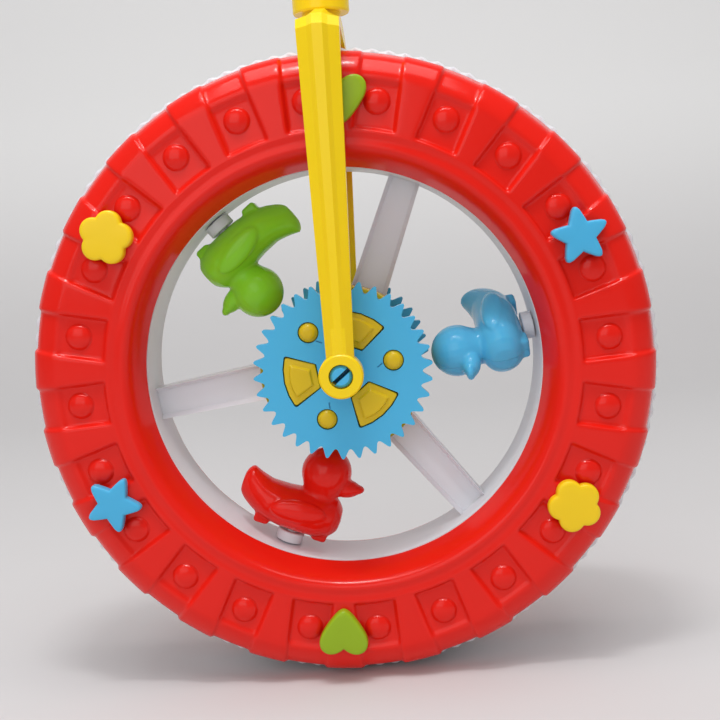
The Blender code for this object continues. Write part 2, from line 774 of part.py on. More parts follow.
def duck_half(name, whole, side):
    """Half of the duck, its flat face half the seam's gap from the middle; side 1 is its left."""
    work = bmesh.new()
    work.from_mesh(whole.data)
    everything = work.verts[:] + work.edges[:] + work.faces[:]
    seam = bmesh.ops.bisect_plane(
        work, geom=everything, dist=0.01 * MM, plane_co=(0.0, -CLEAR / 2, 0.0), plane_no=(0.0, 1.0, 0.0),
        clear_outer=True)
    edges = [item for item in seam["geom_cut"] if isinstance(item, bmesh.types.BMEdge)]
    bmesh.ops.triangle_fill(work, edges=edges, use_beauty=True)
    half = from_bmesh(name, work)
    if side > 0:
        turn_to_rear(half)
    return half


def ducks(parent):
    whole = duck_solid()
    kinds = (
        ("green", GREEN, DUCK_ANGLE + 120.0, 0.0),
        ("blue", BLUE, DUCK_ANGLE, 235.0),
        ("red", RED, DUCK_ANGLE + 240.0, 0.0),
    )
    for kind, colour, angle, turn in kinds:
        duck_post(f"duck_post_{kind}", angle, parent)
        pivot = bpy.data.objects.new(f"duck_axis_{kind}", None)
        bpy.context.scene.collection.objects.link(pivot)
        pivot.parent = parent
        place = radial_frame(angle) @ Matrix.Translation((0.0, 0.0, HOOP_R))
        place = place @ Matrix.Rotation(math.pi, 4, "X") @ Matrix.Rotation(math.pi, 4, "Z")
        pivot.matrix_local = place @ Matrix.Rotation(math.radians(turn), 4, "Z")
        for side, hand in ((1, "left"), (-1, "right")):
            finish(duck_half(f"duck_{kind}_{hand}", whole, side), colour, 0.25, pivot)
    bpy.data.objects.remove(whole, do_unlink=True)


def arm_section(inner, outer, width, ridge):
    """A cross-section of the fork between an inner and an outer (depth, height) point.

    It is flat inside and faceted outside, with a ridge down its middle.
    """
    facets = (
        (-0.5, 0.0),
        (-0.5, ARM_EDGE),
        (-0.24, ARM_FACET + (1.0 - ridge) * (ARM_RIDGE - ARM_FACET)),
        (-0.12, ARM_RIDGE),
    )
    ring = []
    for across, share in facets + tuple((-across, share) for across, share in reversed(facets)):
        depth, height = (low + share * (high - low) for low, high in zip(inner, outer))
        ring.append(Vector((across * width, -depth, height)))
    return ring


def fork_bow():
    """Both arms and the crown as one bar, from the front eye over the wheel to the rear eye."""
    inner, outer = FORK_GAP_HALF, FORK_GAP_HALF + ARM_T
    under = CROWN_UNDER
    rows = []
    for share, ridge in ((0.0, 0.0), (0.14, 0.3), (0.4, 1.0)):
        width = ARM_W_EYE + (ARM_W_TOP - ARM_W_EYE) * share
        rows.append(((inner, share * under), (outer, share * under), width, ridge))
    rows.append(((inner, under - ARM_T / 3), (outer, under), ARM_W_TOP, 1.0))
    rows.append(((inner - ARM_T / 6, under), (outer - ARM_T / 2, under + CROWN_FALL), ARM_W_TOP, 1.0))
    rows.append(((SOCKET_R, under), (SOCKET_R, under + CROWN_T), ARM_W_TOP, 1.0))
    front = [arm_section(*row) for row in rows]
    rear = [[Vector((point.x, -point.y, point.z)) for point in ring] for ring in reversed(front)]
    return stack("fork", front + rear)


def eye(side):
    """The round end of an arm."""
    item = turned("eye", [
        (EYE_R, FORK_GAP_HALF), (EYE_R, FORK_GAP_HALF + ARM_T - 0.6 * MM), (EYE_R - 0.6 * MM, FORK_GAP_HALF + ARM_T),
    ], 20, along_axle(1))
    if side < 0:
        turn_to_rear(item)
    return item


def fork():
    """The one-piece yellow fork: two arms, the crown and the socket for the pole."""
    item = fork_bow()
    fuse(item, eye(1))
    fuse(item, eye(-1))
    rim = CROWN_UNDER + SOCKET_RIM
    top = rim + SOCKET_H
    socket = turned("socket", [
        (SOCKET_R - 0.8 * MM, rim - SOCKET_FOOT),
        (SOCKET_R - 0.8 * MM, rim),
        (SOCKET_R, rim),
        (SOCKET_R, top),
    ], 24)
    fuse(item, socket)
    bore_r = POLE_R + CLEAR
    cut(item, turned("pole_bore", [(bore_r, top - SOCKET_DEEP), (bore_r, top + 5 * MM)], 20))
    eye_out = FORK_GAP_HALF + ARM_T
    eye_bore = PIN_R + CLEAR
    sink = PIN_R + BARB + CLEAR
    profile = [
        (sink, -eye_out - 2 * MM),
        (sink, -eye_out + 2.2 * MM),
        (eye_bore, -eye_out + 2.2 * MM),
        (eye_bore, eye_out - 2.2 * MM),
        (sink, eye_out - 2.2 * MM),
        (sink, eye_out + 2 * MM),
    ]
    cut(item, turned("eye_bore", profile, 16, along_axle(1)))
    item.location = (0.0, 0.0, AXLE_Z)
    return finish(item, YELLOW, 0.25), AXLE_Z + top


def tube(name, profile, sides, colour, roughness=0.3):
    """A tube turned about Z from a closed outline of (radius, height) points."""
    item = lathe(name, profile, sides)
    item.data.transform(Matrix.Rotation(math.radians(-90.0), 4, "X"))
    return finish(item, colour, roughness)


def pole_and_grip(socket_top):
    """Two tubes joined by a coupling, and the grip on the top tube."""
    inner = POLE_R - POLE_WALL
    plug = SOCKET_DEEP - CLEAR
    low = socket_top - plug
    joint_low = socket_top + POLE_LEN
    split = joint_low + COUPLING_LEN / 2
    tube("pole_lower", [
        (inner, low), (POLE_R, low), (POLE_R, split - CLEAR), (inner, split - CLEAR),
    ], 20, YELLOW, 0.3)
    bore = POLE_R + CLEAR
    stop = 2.0 * MM
    tube("pole_coupling", [
        (bore, joint_low),
        (COUPLING_R - 0.8 * MM, joint_low),
        (COUPLING_R, joint_low + 0.8 * MM),
        (COUPLING_R, joint_low + COUPLING_LEN - 0.8 * MM),
        (COUPLING_R - 0.8 * MM, joint_low + COUPLING_LEN),
        (bore, joint_low + COUPLING_LEN),
    ], 20, YELLOW, 0.3)
    grip_low = joint_low + COUPLING_LEN + POLE_LEN
    upper_top = grip_low + GRIP_LEN - stop
    tube("pole_upper", [
        (inner, split + CLEAR), (POLE_R, split + CLEAR), (POLE_R, upper_top), (inner, upper_top),
    ], 20, YELLOW, 0.3)
    profile = [(bore, grip_low), (GRIP_R - 2.4 * MM, grip_low), (GRIP_R, grip_low + 3 * MM)]
    pitch = (GRIP_LEN - 22 * MM) / GRIP_RINGS
    for index in range(GRIP_RINGS):
        base = grip_low + 12 * MM + index * pitch
        groove = 0.9 * MM
        profile += [
            (GRIP_R, base), (GRIP_R - groove, base + 2.0 * MM), (GRIP_R, base + 4.0 * MM),
        ]
    profile += [(GRIP_R, grip_low + GRIP_LEN), (bore, grip_low + GRIP_LEN)]
    tube("grip", profile, 16, RED, 0.45)
    cap_low = grip_low + GRIP_LEN + CLEAR
    plug_r = inner - CLEAR
    cap = turned("grip_cap", [
        (plug_r, cap_low - 8 * MM),
        (plug_r, cap_low),
        (GRIP_R, cap_low),
        (GRIP_R, cap_low + 0.35 * CAP_H),
        (GRIP_R * 0.86, cap_low + 0.72 * CAP_H),
        (GRIP_R * 0.52, cap_low + CAP_H),
    ], 18)
    finish(cap, BLUE, 0.3)


def build():
    clear_scene()
    axis = wheel_axis()
    wheel_core(axis)
    for side, where in ((1, "front"), (-1, "rear")):
        cover(f"cover_{where}", side, axis)
        hub_shell(f"hub_{where}", side, axis)
        gear(f"gear_{where}", side, axis)
    badges(axis)
    ducks(axis)
    socket_top = fork()[1]
    pole_and_grip(socket_top)


build()
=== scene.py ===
import json
import math

import bpy
from bpy.props import FloatProperty, FloatVectorProperty, IntProperty, PointerProperty
from mathutils import Matrix, Vector


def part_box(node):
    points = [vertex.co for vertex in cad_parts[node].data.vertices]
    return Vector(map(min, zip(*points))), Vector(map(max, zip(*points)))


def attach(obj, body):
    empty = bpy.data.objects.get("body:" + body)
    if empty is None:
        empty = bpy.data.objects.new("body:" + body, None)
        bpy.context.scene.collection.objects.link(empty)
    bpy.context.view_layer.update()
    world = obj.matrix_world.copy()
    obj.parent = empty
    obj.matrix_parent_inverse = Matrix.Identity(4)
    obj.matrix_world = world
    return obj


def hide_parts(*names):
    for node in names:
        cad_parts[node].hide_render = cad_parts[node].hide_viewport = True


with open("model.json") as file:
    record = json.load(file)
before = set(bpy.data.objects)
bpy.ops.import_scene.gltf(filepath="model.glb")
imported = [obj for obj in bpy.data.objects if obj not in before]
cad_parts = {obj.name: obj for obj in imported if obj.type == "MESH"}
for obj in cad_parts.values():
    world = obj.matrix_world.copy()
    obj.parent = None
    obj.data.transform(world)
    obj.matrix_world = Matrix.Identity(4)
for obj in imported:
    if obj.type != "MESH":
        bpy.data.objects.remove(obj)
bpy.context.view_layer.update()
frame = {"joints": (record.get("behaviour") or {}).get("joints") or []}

bl_info = {
    "name": "Duck wheel push toy",
    "version": (1, 0, 0),
    "blender": (4, 5, 0),
    "location": "3D View > Sidebar > Push toy",
    "description": "Models the moulded pieces of a push-along duck wheel around its CAD frame",
    "category": "Object",
}

MM = 0.001
AXLE_Z = frame["joints"][0]["pos_m"][2]
SIDES = (("front", 1), ("rear", -1))
FULL_TURN = math.tau


def length(name, about, default):
    return FloatProperty(name=name, description=about, default=default, unit="LENGTH", precision=5)


def angle(name, about, degrees):
    return FloatProperty(name=name, description=about, default=math.radians(degrees), subtype="ANGLE")


def count(name, about, default):
    return IntProperty(name=name, description=about, default=default, min=1)


def paint(name, about, default):
    return FloatVectorProperty(
        name=name, description=about, default=default, subtype="COLOR", min=0.0, max=1.0)


def number(name, about, default):
    return FloatProperty(name=name, description=about, default=default)


class ToyColours(bpy.types.PropertyGroup):
    """Colours of the plastics and of the studio."""
    red: paint("Red", "Covers, red duck and grip", (0.79, 0.013, 0.006))
    blue: paint("Blue", "Gears, stars and cap", (0.075, 0.45, 0.75))
    blue_duck: paint("Blue duck", "The blue duck", (0.095, 0.47, 0.76))
    yellow: paint("Yellow", "Fork and pole", (0.94, 0.66, 0.008))
    hub_yellow: paint("Hub yellow", "Hub behind the gear", (0.69, 0.48, 0.012))
    flower_yellow: paint("Flower yellow", "Flower badges", (0.92, 0.62, 0.012))
    heart_green: paint("Heart green", "Heart badges", (0.30, 0.46, 0.014))
    duck_green: paint("Duck green", "The green duck", (0.26, 0.64, 0.025))
    white: paint("White", "Wheel core and duck posts", (0.74, 0.74, 0.78))
    floor: paint("Floor", "Floor under the toy", (0.62, 0.61, 0.615))
    wall: paint("Wall", "Wall behind the toy", (0.86, 0.86, 0.86))


class WheelSizes(bpy.types.PropertyGroup):
    """Sizes of the white wheel core."""
    tread: length("Tread radius", "Over the tips of the tread", 100 * MM)
    tread_depth: length("Tread depth", "Depth of the serrations", 0.85 * MM)
    tread_wall: length("Tread band", "Thickness of the band with its serrations", 3.9 * MM)
    half_width: length("Half width", "Middle plane to the core's edge", 11 * MM)
    hoop: length("Hoop radius", "Inner face of the hoop", 62.9 * MM)
    teeth: count("Serrations", "Serrations round the tread", 120)
    roll: angle("Roll", "How far the wheel has rolled", 3.6)
    spoke_angle: angle("Spoke angle", "Angle of the first spoke", 72.0)
    duck_angle: angle("Duck angle", "Angle of the first duck", 12.0)
    spoke_width_rim: length("Spoke at the rim", "Spoke's width where it meets the hoop", 10.2 * MM)
    spoke_width_hub: length("Spoke at the hub", "Spoke's width where it meets the hub", 12.2 * MM)
    spoke_depth: length("Spoke half depth", "Middle plane to the edge of a spoke's walls", 4.0 * MM)
    spoke_wall: length("Spoke wall", "Thickness of a spoke's side walls", 1.2 * MM)


class CoverSizes(bpy.types.PropertyGroup):
    """Sizes of the red covers."""
    rim: length("Rim radius", "Outer edge of a cover", 98.5 * MM)
    lip: length("Lip radius", "Inner edge of a cover, a little behind the hoop's face", 63.2 * MM)
    face: length("Face", "Middle plane to the top of the blocks", 22.6 * MM)
    panels: count("Panels", "Recessed panels round a cover", 24)
    panel_half: length("Panel half width", "Half the width of a panel", 6.2 * MM)
    panel_depth: length("Panel depth", "Depth of a panel", 1.7 * MM)
    scallop: length("Scallop", "How far the rim falls back beside a panel", 0.9 * MM)
    dome_ring: length("Dome ring", "Circle that the domes stand on", 82.9 * MM)
    dome: length("Dome radius", "Foot radius of a dome", 3.9 * MM)
    dome_height: length("Dome height", "Height of a dome over its panel", 1.5 * MM)


class BadgeSizes(bpy.types.PropertyGroup):
    """Sizes of the badges."""
    ring: length("Badge ring", "Circle that the badges stand on", 83.2 * MM)
    height: length("Badge height", "Thickness of a badge", 3.0 * MM)
    heart: length("Heart width", "Width of a heart", 15.5 * MM)
    star: length("Star radius", "Over the tips of a star", 9.0 * MM)
    flower: length("Flower radius", "Over the petals of a flower", 8.4 * MM)


class HubSizes(bpy.types.PropertyGroup):
    """Sizes of the gears and hubs."""
    gear: length("Gear radius", "Over the tips of the teeth", 28.2 * MM)
    tooth: length("Tooth height", "Height of a tooth", 3.3 * MM)
    teeth: count("Teeth", "Teeth of a gear", 34)
    gear_face: length("Gear face", "Middle plane to a gear's face", 19.8 * MM)
    gear_thick: length("Gear thickness", "Thickness of a gear", 2.8 * MM)
    window_in: length("Window inner radius", "Inner end of a sector window", 8.3 * MM)
    window_out: length("Window outer radius", "Outer end of a sector window", 18.9 * MM)
    spot_ring: length("Spot ring", "Circle of the round windows", 16.1 * MM)
    window_half: angle("Window half angle", "Half the angle of a sector window", 26.5)
    spot: length("Spot radius", "Radius of a round window", 3.3 * MM)
    lobe: length("Lobe radius", "Hub's reach over a spoke", 26.2 * MM)
    disc: length("Disc radius", "Hub's reach between the spokes", 21.0 * MM)
    pin: length("Pin radius", "Split pin in the fork's eye", 2.9 * MM)
    barb: length("Barb", "How far the pin's barb stands out", 0.5 * MM)
    slot: length("Slot", "Width of the slot across the pin", 1.3 * MM)


class DuckSizes(bpy.types.PropertyGroup):
    """Sizes of the ducks and their posts."""
    head: length("Head radius", "Radius of the head", 8.4 * MM)
    head_up: length("Head height", "Hoop's face to the middle of the head", 26.3 * MM)
    head_ahead: length("Head forward", "Post to the middle of the head", 5.2 * MM)
    base: length("Foot height", "Hoop's face to the underside of the feet", 3.6 * MM)
    wing: length("Wing length", "Length of a wing's relief", 18.5 * MM)
    post: length("Post radius", "Foot of a post", 4.5 * MM)
    post_foot: length("Post foot", "Height of a post's foot", 3.9 * MM)
    post_head: length("Post head", "Hoop's face to the underside of a post's head", 12.6 * MM)
    post_pin: length("Post pin radius", "Pin inside a duck", 2.0 * MM)


class ForkSizes(bpy.types.PropertyGroup):
    """Sizes of the fork, the pole and the grip."""
    gap: length("Fork half gap", "Middle plane to an arm's inner face", 27.2 * MM)
    arm: length("Arm thickness", "Thickness of an arm", 7.3 * MM)
    arm_low: length("Arm width at the eye", "Width of an arm at the eye", 8.2 * MM)
    arm_high: length("Arm width at the crown", "Width of an arm at the crown", 12.9 * MM)
    eye: length("Eye radius", "Radius of an eye", 6.8 * MM)
    crown: length("Crown underside", "Axle to the crown's underside", 103.4 * MM)
    crown_thick: length("Crown thickness", "Crown's thickness beside the socket", 9.2 * MM)
    crown_fall: length("Crown shoulder", "Height of the shoulder over the bend", 3.6 * MM)
    socket_high: length("Socket height", "Crown's thickness to the socket's mouth", 30.0 * MM)
    socket: length("Socket radius", "Radius of the pole's socket", 9.0 * MM)
    pole: length("Pole radius", "Radius of the pole", 6.8 * MM)
    grip: length("Grip radius", "Radius of the grip", 12.0 * MM)


class StageSizes(bpy.types.PropertyGroup):
    """Camera and lamps."""
    focal: length("Focal length", "Camera's focal length for a 36 mm sensor", 55.75 * MM)
    key: number("Key light", "Power of the wide lamp overhead, in watts", 8.5)
    spark: number("Small light", "Power of the small lamp overhead, in watts", 1.2)
    fill: number("Front light", "Power of the lamp in front, in watts", 3.0)
    sky: number("Sky", "Strength of the soft light all round", 0.52)


# Modelling tools

def rotation(degrees, axis):
    """A turn about one axis through the origin."""
    return Matrix.Rotation(math.radians(degrees), 4, axis)


def begin():
    """Object mode with nothing selected."""
    if bpy.context.object is not None and bpy.context.object.mode != "OBJECT":
        bpy.ops.object.mode_set(mode="OBJECT")
    bpy.ops.object.select_all(action="DESELECT")


def pick(*items):
    """Select these objects, the first one active."""
    begin()
    for item in items:
        item.select_set(True)
    bpy.context.view_layer.objects.active = items[0]
    return items[0]


def edit(item):
    pick(item)
    bpy.ops.object.mode_set(mode="EDIT")
    bpy.ops.mesh.select_all(action="SELECT")


def close_up(item, place=None):
    """Merge what meets, turn the faces outwards and put the piece in its place."""
    edit(item)
    bpy.ops.mesh.remove_doubles(threshold=0.002 * MM)
    bpy.ops.mesh.select_all(action="SELECT")
    bpy.ops.mesh.normals_make_consistent(inside=False)
    bpy.ops.object.mode_set(mode="OBJECT")
    if place is not None:
        item.data.transform(place)
        if place.determinant() < 0:
            item.data.flip_normals()
    return item


def added(name):
    """The primitive that was just added, under its own name."""
    item = bpy.context.object
    item.name = name
    item.data.name = name
    return item


def draw(name, profile):
    """A chain of vertices drawn in the XZ plane by extruding a point."""
    begin()
    bpy.ops.mesh.primitive_plane_add(size=MM)
    item = added(name)
    edit(item)
    bpy.ops.mesh.merge(type="CENTER")
    bpy.ops.transform.translate(value=(profile[0][0], 0.0, profile[0][1]))
    for (r, h), (next_r, next_h) in zip(profile, profile[1:]):
        bpy.ops.mesh.extrude_vertices_move(
            TRANSFORM_OT_translate={"value": (next_r - r, 0.0, next_h - h)})
    return item


def turned(name, profile, steps, place=None, ring=False):
    """Spin a profile of (radius, height) about Z; a ring's profile closes on itself."""
    item = draw(name, profile + profile[:1] if ring else profile)
    bpy.ops.mesh.select_all(action="SELECT")
    bpy.ops.mesh.spin(steps=steps, angle=FULL_TURN, center=(0.0, 0.0, 0.0), axis=(0.0, 0.0, 1.0))
    return close_up(item, place)


def slab(name, outline, low, high, place=None):
    """Fill an outline of (x, z) points at depth low and extrude it forward to depth high."""
    begin()
    bpy.ops.mesh.primitive_circle_add(vertices=len(outline), radius=1.0, fill_type="NGON")
    item = added(name)
    for vertex, (x, z) in zip(item.data.vertices, outline):
        vertex.co = (x, -low, z)
    edit(item)
    bpy.ops.mesh.extrude_region_move(TRANSFORM_OT_translate={"value": (0.0, low - high, 0.0)})
    return close_up(item, place)


def pillow(name, outline, low, levels, place=None):
    """A slab whose top narrows through levels of (height, share of the outline)."""
    item = slab(name, outline, low, low + levels[0][0])
    edit(item)
    bpy.ops.mesh.select_mode(type="FACE")
    bpy.ops.mesh.select_all(action="DESELECT")
    bpy.ops.object.mode_set(mode="OBJECT")
    top = min(item.data.polygons, key=lambda face: face.center.y)
    top.select = True
    bpy.ops.object.mode_set(mode="EDIT")
    for (height, share), (next_height, next_share) in zip(levels, levels[1:]):
        bpy.ops.mesh.extrude_region_move(
            TRANSFORM_OT_translate={"value": (0.0, height - next_height, 0.0)})
        grow = next_share / share
        bpy.ops.transform.resize(value=(grow, 1.0, grow), center_override=(0.0, 0.0, 0.0))
    bpy.ops.mesh.select_mode(type="VERT")
    return close_up(item, place)


def lofted(name, rings):
    """A solid drawn out from ring to ring; each ring is a list of (x, y, z) points."""
    begin()
    bpy.ops.mesh.primitive_circle_add(vertices=len(rings[0]), radius=1.0, fill_type="NGON")
    item = added(name)
    for vertex, point in zip(item.data.vertices, rings[0]):
        vertex.co = point
    edit(item)
    for ring in rings[1:]:
        bpy.ops.mesh.extrude_region_move()
        bpy.ops.object.mode_set(mode="OBJECT")
        leading = [vertex for vertex in item.data.vertices if vertex.select]
        for vertex, point in zip(leading, ring):
            vertex.co = point
        bpy.ops.object.mode_set(mode="EDIT")
    return close_up(item)


def modify(item, kind, **settings):
    """Add a modifier with these settings and apply it."""
    pick(item)
    step = item.modifiers.new(kind.lower(), kind)
    for key, value in settings.items():
        setattr(step, key, value)
    bpy.ops.object.modifier_apply(modifier=step.name)
    return item


def rounded(item, width, segments=2, limit=35.0):
    return modify(
        item, "BEVEL", width=width, segments=segments, limit_method="ANGLE",
        angle_limit=math.radians(limit), use_clamp_overlap=True, harden_normals=False,
    )


def shaped(item, tool, operation):
    """Cut or fuse with another piece, which is used up."""
    modify(item, "BOOLEAN", operation=operation, solver="EXACT", object=tool)
    bpy.data.objects.remove(tool, do_unlink=True)
    return item


def joined(*items):
    """Join pieces into the first one."""
    pick(*items)
    if len(items) > 1:
        bpy.ops.object.join()
    return items[0]


def copied(item, name, place):
    """A copy with its own mesh, in another place."""
    pick(item)
    bpy.ops.object.duplicate()
    other = added(name)
    other.data.transform(place)
    if place.determinant() < 0:
        other.data.flip_normals()
    return other


def settle(item, body, material, nodes, smooth=35.0, flat=True):
    """Shade a piece, with its large faces kept flat, paint it and hang it on its body."""
    pick(item)
    bpy.ops.object.shade_smooth_by_angle(angle=math.radians(smooth))
    if flat:
        modify(item, "WEIGHTED_NORMAL", keep_sharp=True)
    item.data.materials.clear()
    item.data.materials.append(material)
    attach(item, body)
    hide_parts(*nodes)
    return item


def polar(radius, degrees):
    turn = math.radians(degrees)
    return radius * math.cos(turn), radius * math.sin(turn)


def wheel_place():
    """From the wheel's own frame, rolled as it stands, to the row frame."""
    roll = bpy.context.scene.toy_wheel.roll
    return Matrix.Translation((0.0, 0.0, AXLE_Z)) @ Matrix.Rotation(roll, 4, "Y")


def facing(side):
    """From a piece modelled for the front to this side of the wheel."""
    return Matrix.Diagonal((1.0, float(side), 1.0, 1.0))


def on_axle(side):
    """Turns Z into the outward axle direction of a side."""
    return rotation(90.0 * side, "X")


def radial(degrees):
    """A frame at the axle with Z outward at this angle and Y along the axle."""
    x, z = polar(1.0, degrees)
    return Matrix(((z, 0.0, x, 0.0), (0.0, 1.0, 0.0, 0.0), (-x, 0.0, z, 0.0), (0.0, 0.0, 0.0, 1.0)))


# Finishes

def group_socket(group, name, direction, kind, default=None):
    socket = group.interface.new_socket(name=name, in_out=direction, socket_type=kind)
    if default is not None:
        socket.default_value = default


def link(group, start, end):
    group.links.new(start, end)


def flow_group():
    """Slow colour drift of moulded plastic and the faint ripple of its skin."""
    name = "moulded_skin"
    if name in bpy.data.node_groups:
        return bpy.data.node_groups[name]
    group = bpy.data.node_groups.new(name, "ShaderNodeTree")
    group_socket(group, "Colour", "INPUT", "NodeSocketColor")
    group_socket(group, "Drift", "INPUT", "NodeSocketFloat", 0.06)
    group_socket(group, "Gloss", "INPUT", "NodeSocketFloat", 0.2)
    group_socket(group, "Ripple", "INPUT", "NodeSocketFloat", 0.1)
    group_socket(group, "Colour", "OUTPUT", "NodeSocketColor")
    group_socket(group, "Roughness", "OUTPUT", "NodeSocketFloat")
    group_socket(group, "Normal", "OUTPUT", "NodeSocketVector")
    nodes = group.nodes
    given = nodes.new("NodeGroupInput")
    made = nodes.new("NodeGroupOutput")
    place = nodes.new("ShaderNodeTexCoord")
    slow = nodes.new("ShaderNodeTexNoise")
    slow.inputs["Scale"].default_value = 38.0
    slow.inputs["Detail"].default_value = 3.0
    fine = nodes.new("ShaderNodeTexNoise")
    fine.inputs["Scale"].default_value = 420.0
    fine.inputs["Detail"].default_value = 2.0
    for texture in (slow, fine):
        link(group, place.outputs["Object"], texture.inputs["Vector"])
    centred = nodes.new("ShaderNodeMath")
    centred.operation = "MULTIPLY_ADD"
    centred.inputs[1].default_value = 2.0
    centred.inputs[2].default_value = -1.0
    link(group, slow.outputs["Fac"], centred.inputs[0])
    amount = nodes.new("ShaderNodeMath")
    amount.operation = "MULTIPLY_ADD"
    amount.inputs[2].default_value = 1.0
    link(group, centred.outputs[0], amount.inputs[0])
    link(group, given.outputs["Drift"], amount.inputs[1])
    shade = nodes.new("ShaderNodeHueSaturation")
    link(group, amount.outputs[0], shade.inputs["Value"])
    link(group, given.outputs["Colour"], shade.inputs["Color"])
    link(group, shade.outputs["Color"], made.inputs["Colour"])
    matt = nodes.new("ShaderNodeMath")
    matt.operation = "MULTIPLY_ADD"
    matt.inputs[1].default_value = 0.09
    link(group, fine.outputs["Fac"], matt.inputs[0])
    link(group, given.outputs["Gloss"], matt.inputs[2])
    link(group, matt.outputs[0], made.inputs["Roughness"])
    bump = nodes.new("ShaderNodeBump")
    bump.inputs["Distance"].default_value = 0.12 * MM
    link(group, given.outputs["Ripple"], bump.inputs["Strength"])
    link(group, slow.outputs["Fac"], bump.inputs["Height"])
    link(group, bump.outputs["Normal"], made.inputs["Normal"])
    return group


def moulded(name, colour, gloss=0.2, drift=0.05, ripple=0.12, glow=0.12, shine=0.3):
    """Injection-moulded plastic; glow is how much light bleeds through it."""
    if name in bpy.data.materials:
        return bpy.data.materials[name]
    material = bpy.data.materials.new(name)
    material.use_nodes = True
    tree = material.node_tree
    shader = tree.nodes["Principled BSDF"]
    shader.inputs["IOR"].default_value = 1.49
    shader.inputs["Specular IOR Level"].default_value = shine
    shader.inputs["Subsurface Weight"].default_value = glow
    shader.inputs["Subsurface Radius"].default_value = [0.25 + 0.75 * value for value in colour]
    shader.inputs["Subsurface Scale"].default_value = 1.6 * MM
    skin = tree.nodes.new("ShaderNodeGroup")
    skin.node_tree = flow_group()
    skin.inputs["Colour"].default_value = (*colour, 1.0)
    skin.inputs["Drift"].default_value = drift
    skin.inputs["Gloss"].default_value = gloss
    skin.inputs["Ripple"].default_value = ripple
    tree.links.new(skin.outputs["Colour"], shader.inputs["Base Color"])
    tree.links.new(skin.outputs["Roughness"], shader.inputs["Roughness"])
    tree.links.new(skin.outputs["Normal"], shader.inputs["Normal"])
    return material


def plastic(which):
    """The finish of one of the toy's colours."""
    colours = bpy.context.scene.toy_colours
    gloss = {"white": 0.3, "red": 0.12, "blue_duck": 0.1}
    glow = {"duck_green": 0.35, "blue_duck": 0.3, "white": 0.2}
    return moulded(
        f"plastic_{which}", getattr(colours, which), gloss.get(which, 0.18), glow=glow.get(which, 0.12))


# Wheel core

def tread_wave(phase):
    """Depth share of a serration at a phase from its crest, 0 to 1 and round."""
    return 0.5 - 0.5 * math.cos(FULL_TURN * phase)


class TOY_OT_core(bpy.types.Operator):
    """White wheel core: serrated tread, web, hoop, spokes and hub"""
    bl_idname = "toy.core"
    bl_label = "Wheel core"

    def execute(self, context):
        sizes = context.scene.toy_wheel
        half, tread, hoop = sizes.half_width, sizes.tread, sizes.hoop
        round_edge = 0.5 * MM
        band_in = tread - sizes.tread_wall
        hoop_out = hoop + 2.0 * MM
        web = 0.9 * MM
        profile = [
            (tread, half - 1.2 * MM), (tread - 0.5 * MM, half - 0.3 * MM), (tread - 1.6 * MM, half),
            (band_in, half), (band_in, web), (hoop_out, web), (hoop_out, half),
            (hoop + round_edge, half),
            (hoop + 0.15 * MM, half - 0.15 * MM), (hoop, half - round_edge),
        ]
        profile += [(r, -h) for r, h in reversed(profile)]
        steps = 4 * sizes.teeth
        core = turned("core_ring", profile, steps, on_axle(1), ring=True)
        first = math.radians(270.0) + sizes.roll
        for vertex in core.data.vertices:
            r = math.hypot(vertex.co.x, vertex.co.z)
            if r > tread - 0.7 * MM:
                turn = math.atan2(vertex.co.z, vertex.co.x) - first
                phase = turn * sizes.teeth / FULL_TURN
                share = 1.0 - sizes.tread_depth * tread_wave(phase) / r
                vertex.co.x *= share
                vertex.co.z *= share
        hub_half = 14.0 * MM
        hub = turned("core_hub", [
            (13.0 * MM, hub_half - 0.4 * MM), (12.6 * MM, hub_half), (4.0 * MM, hub_half),
            (4.0 * MM, -hub_half), (12.6 * MM, -hub_half), (13.0 * MM, 0.4 * MM - hub_half),
        ], 64, on_axle(1), ring=True)
        spokes = []
        for index in range(3):
            spokes.append(self.spoke(sizes, math.degrees(sizes.spoke_angle) + 120.0 * index))
        joined(core, hub, *spokes)
        core.data.transform(wheel_place())
        core.name = "wheel_core_moulding"
        settle(core, "wheel", plastic("white"), ["wheel_core"])
        return {"FINISHED"}

    def spoke(self, sizes, degrees):
        """A tapered bar with a channel pressed into both faces."""
        inner, outer = 12.0 * MM, sizes.hoop + 1.0 * MM
        half_in, half_out = sizes.spoke_width_hub / 2, sizes.spoke_width_rim / 2
        begin()
        bpy.ops.mesh.primitive_cube_add(size=1.0)
        bar = added("spoke")
        for vertex in bar.data.vertices:
            out = vertex.co.z > 0
            wide = half_out if out else half_in
            vertex.co = (
                math.copysign(wide, vertex.co.x),
                math.copysign(sizes.spoke_depth, vertex.co.y),
                outer if out else inner,
            )
        edit(bar)
        bpy.ops.mesh.select_mode(type="FACE")
        bpy.ops.mesh.select_all(action="DESELECT")
        bpy.ops.object.mode_set(mode="OBJECT")
        for face in bar.data.polygons:
            face.select = abs(face.normal.y) > 0.9
        bpy.ops.object.mode_set(mode="EDIT")
        bpy.ops.mesh.inset(thickness=sizes.spoke_wall, use_even_offset=True)
        bpy.ops.mesh.select_mode(type="VERT")
        bpy.ops.object.mode_set(mode="OBJECT")
        floor = 0.9 * MM
        for vertex in bar.data.vertices:
            if vertex.select:
                vertex.co.y = math.copysign(floor, vertex.co.y)
        rounded(bar, 0.25 * MM, 2)
        bar.data.transform(radial(degrees))
        return bar


# Covers

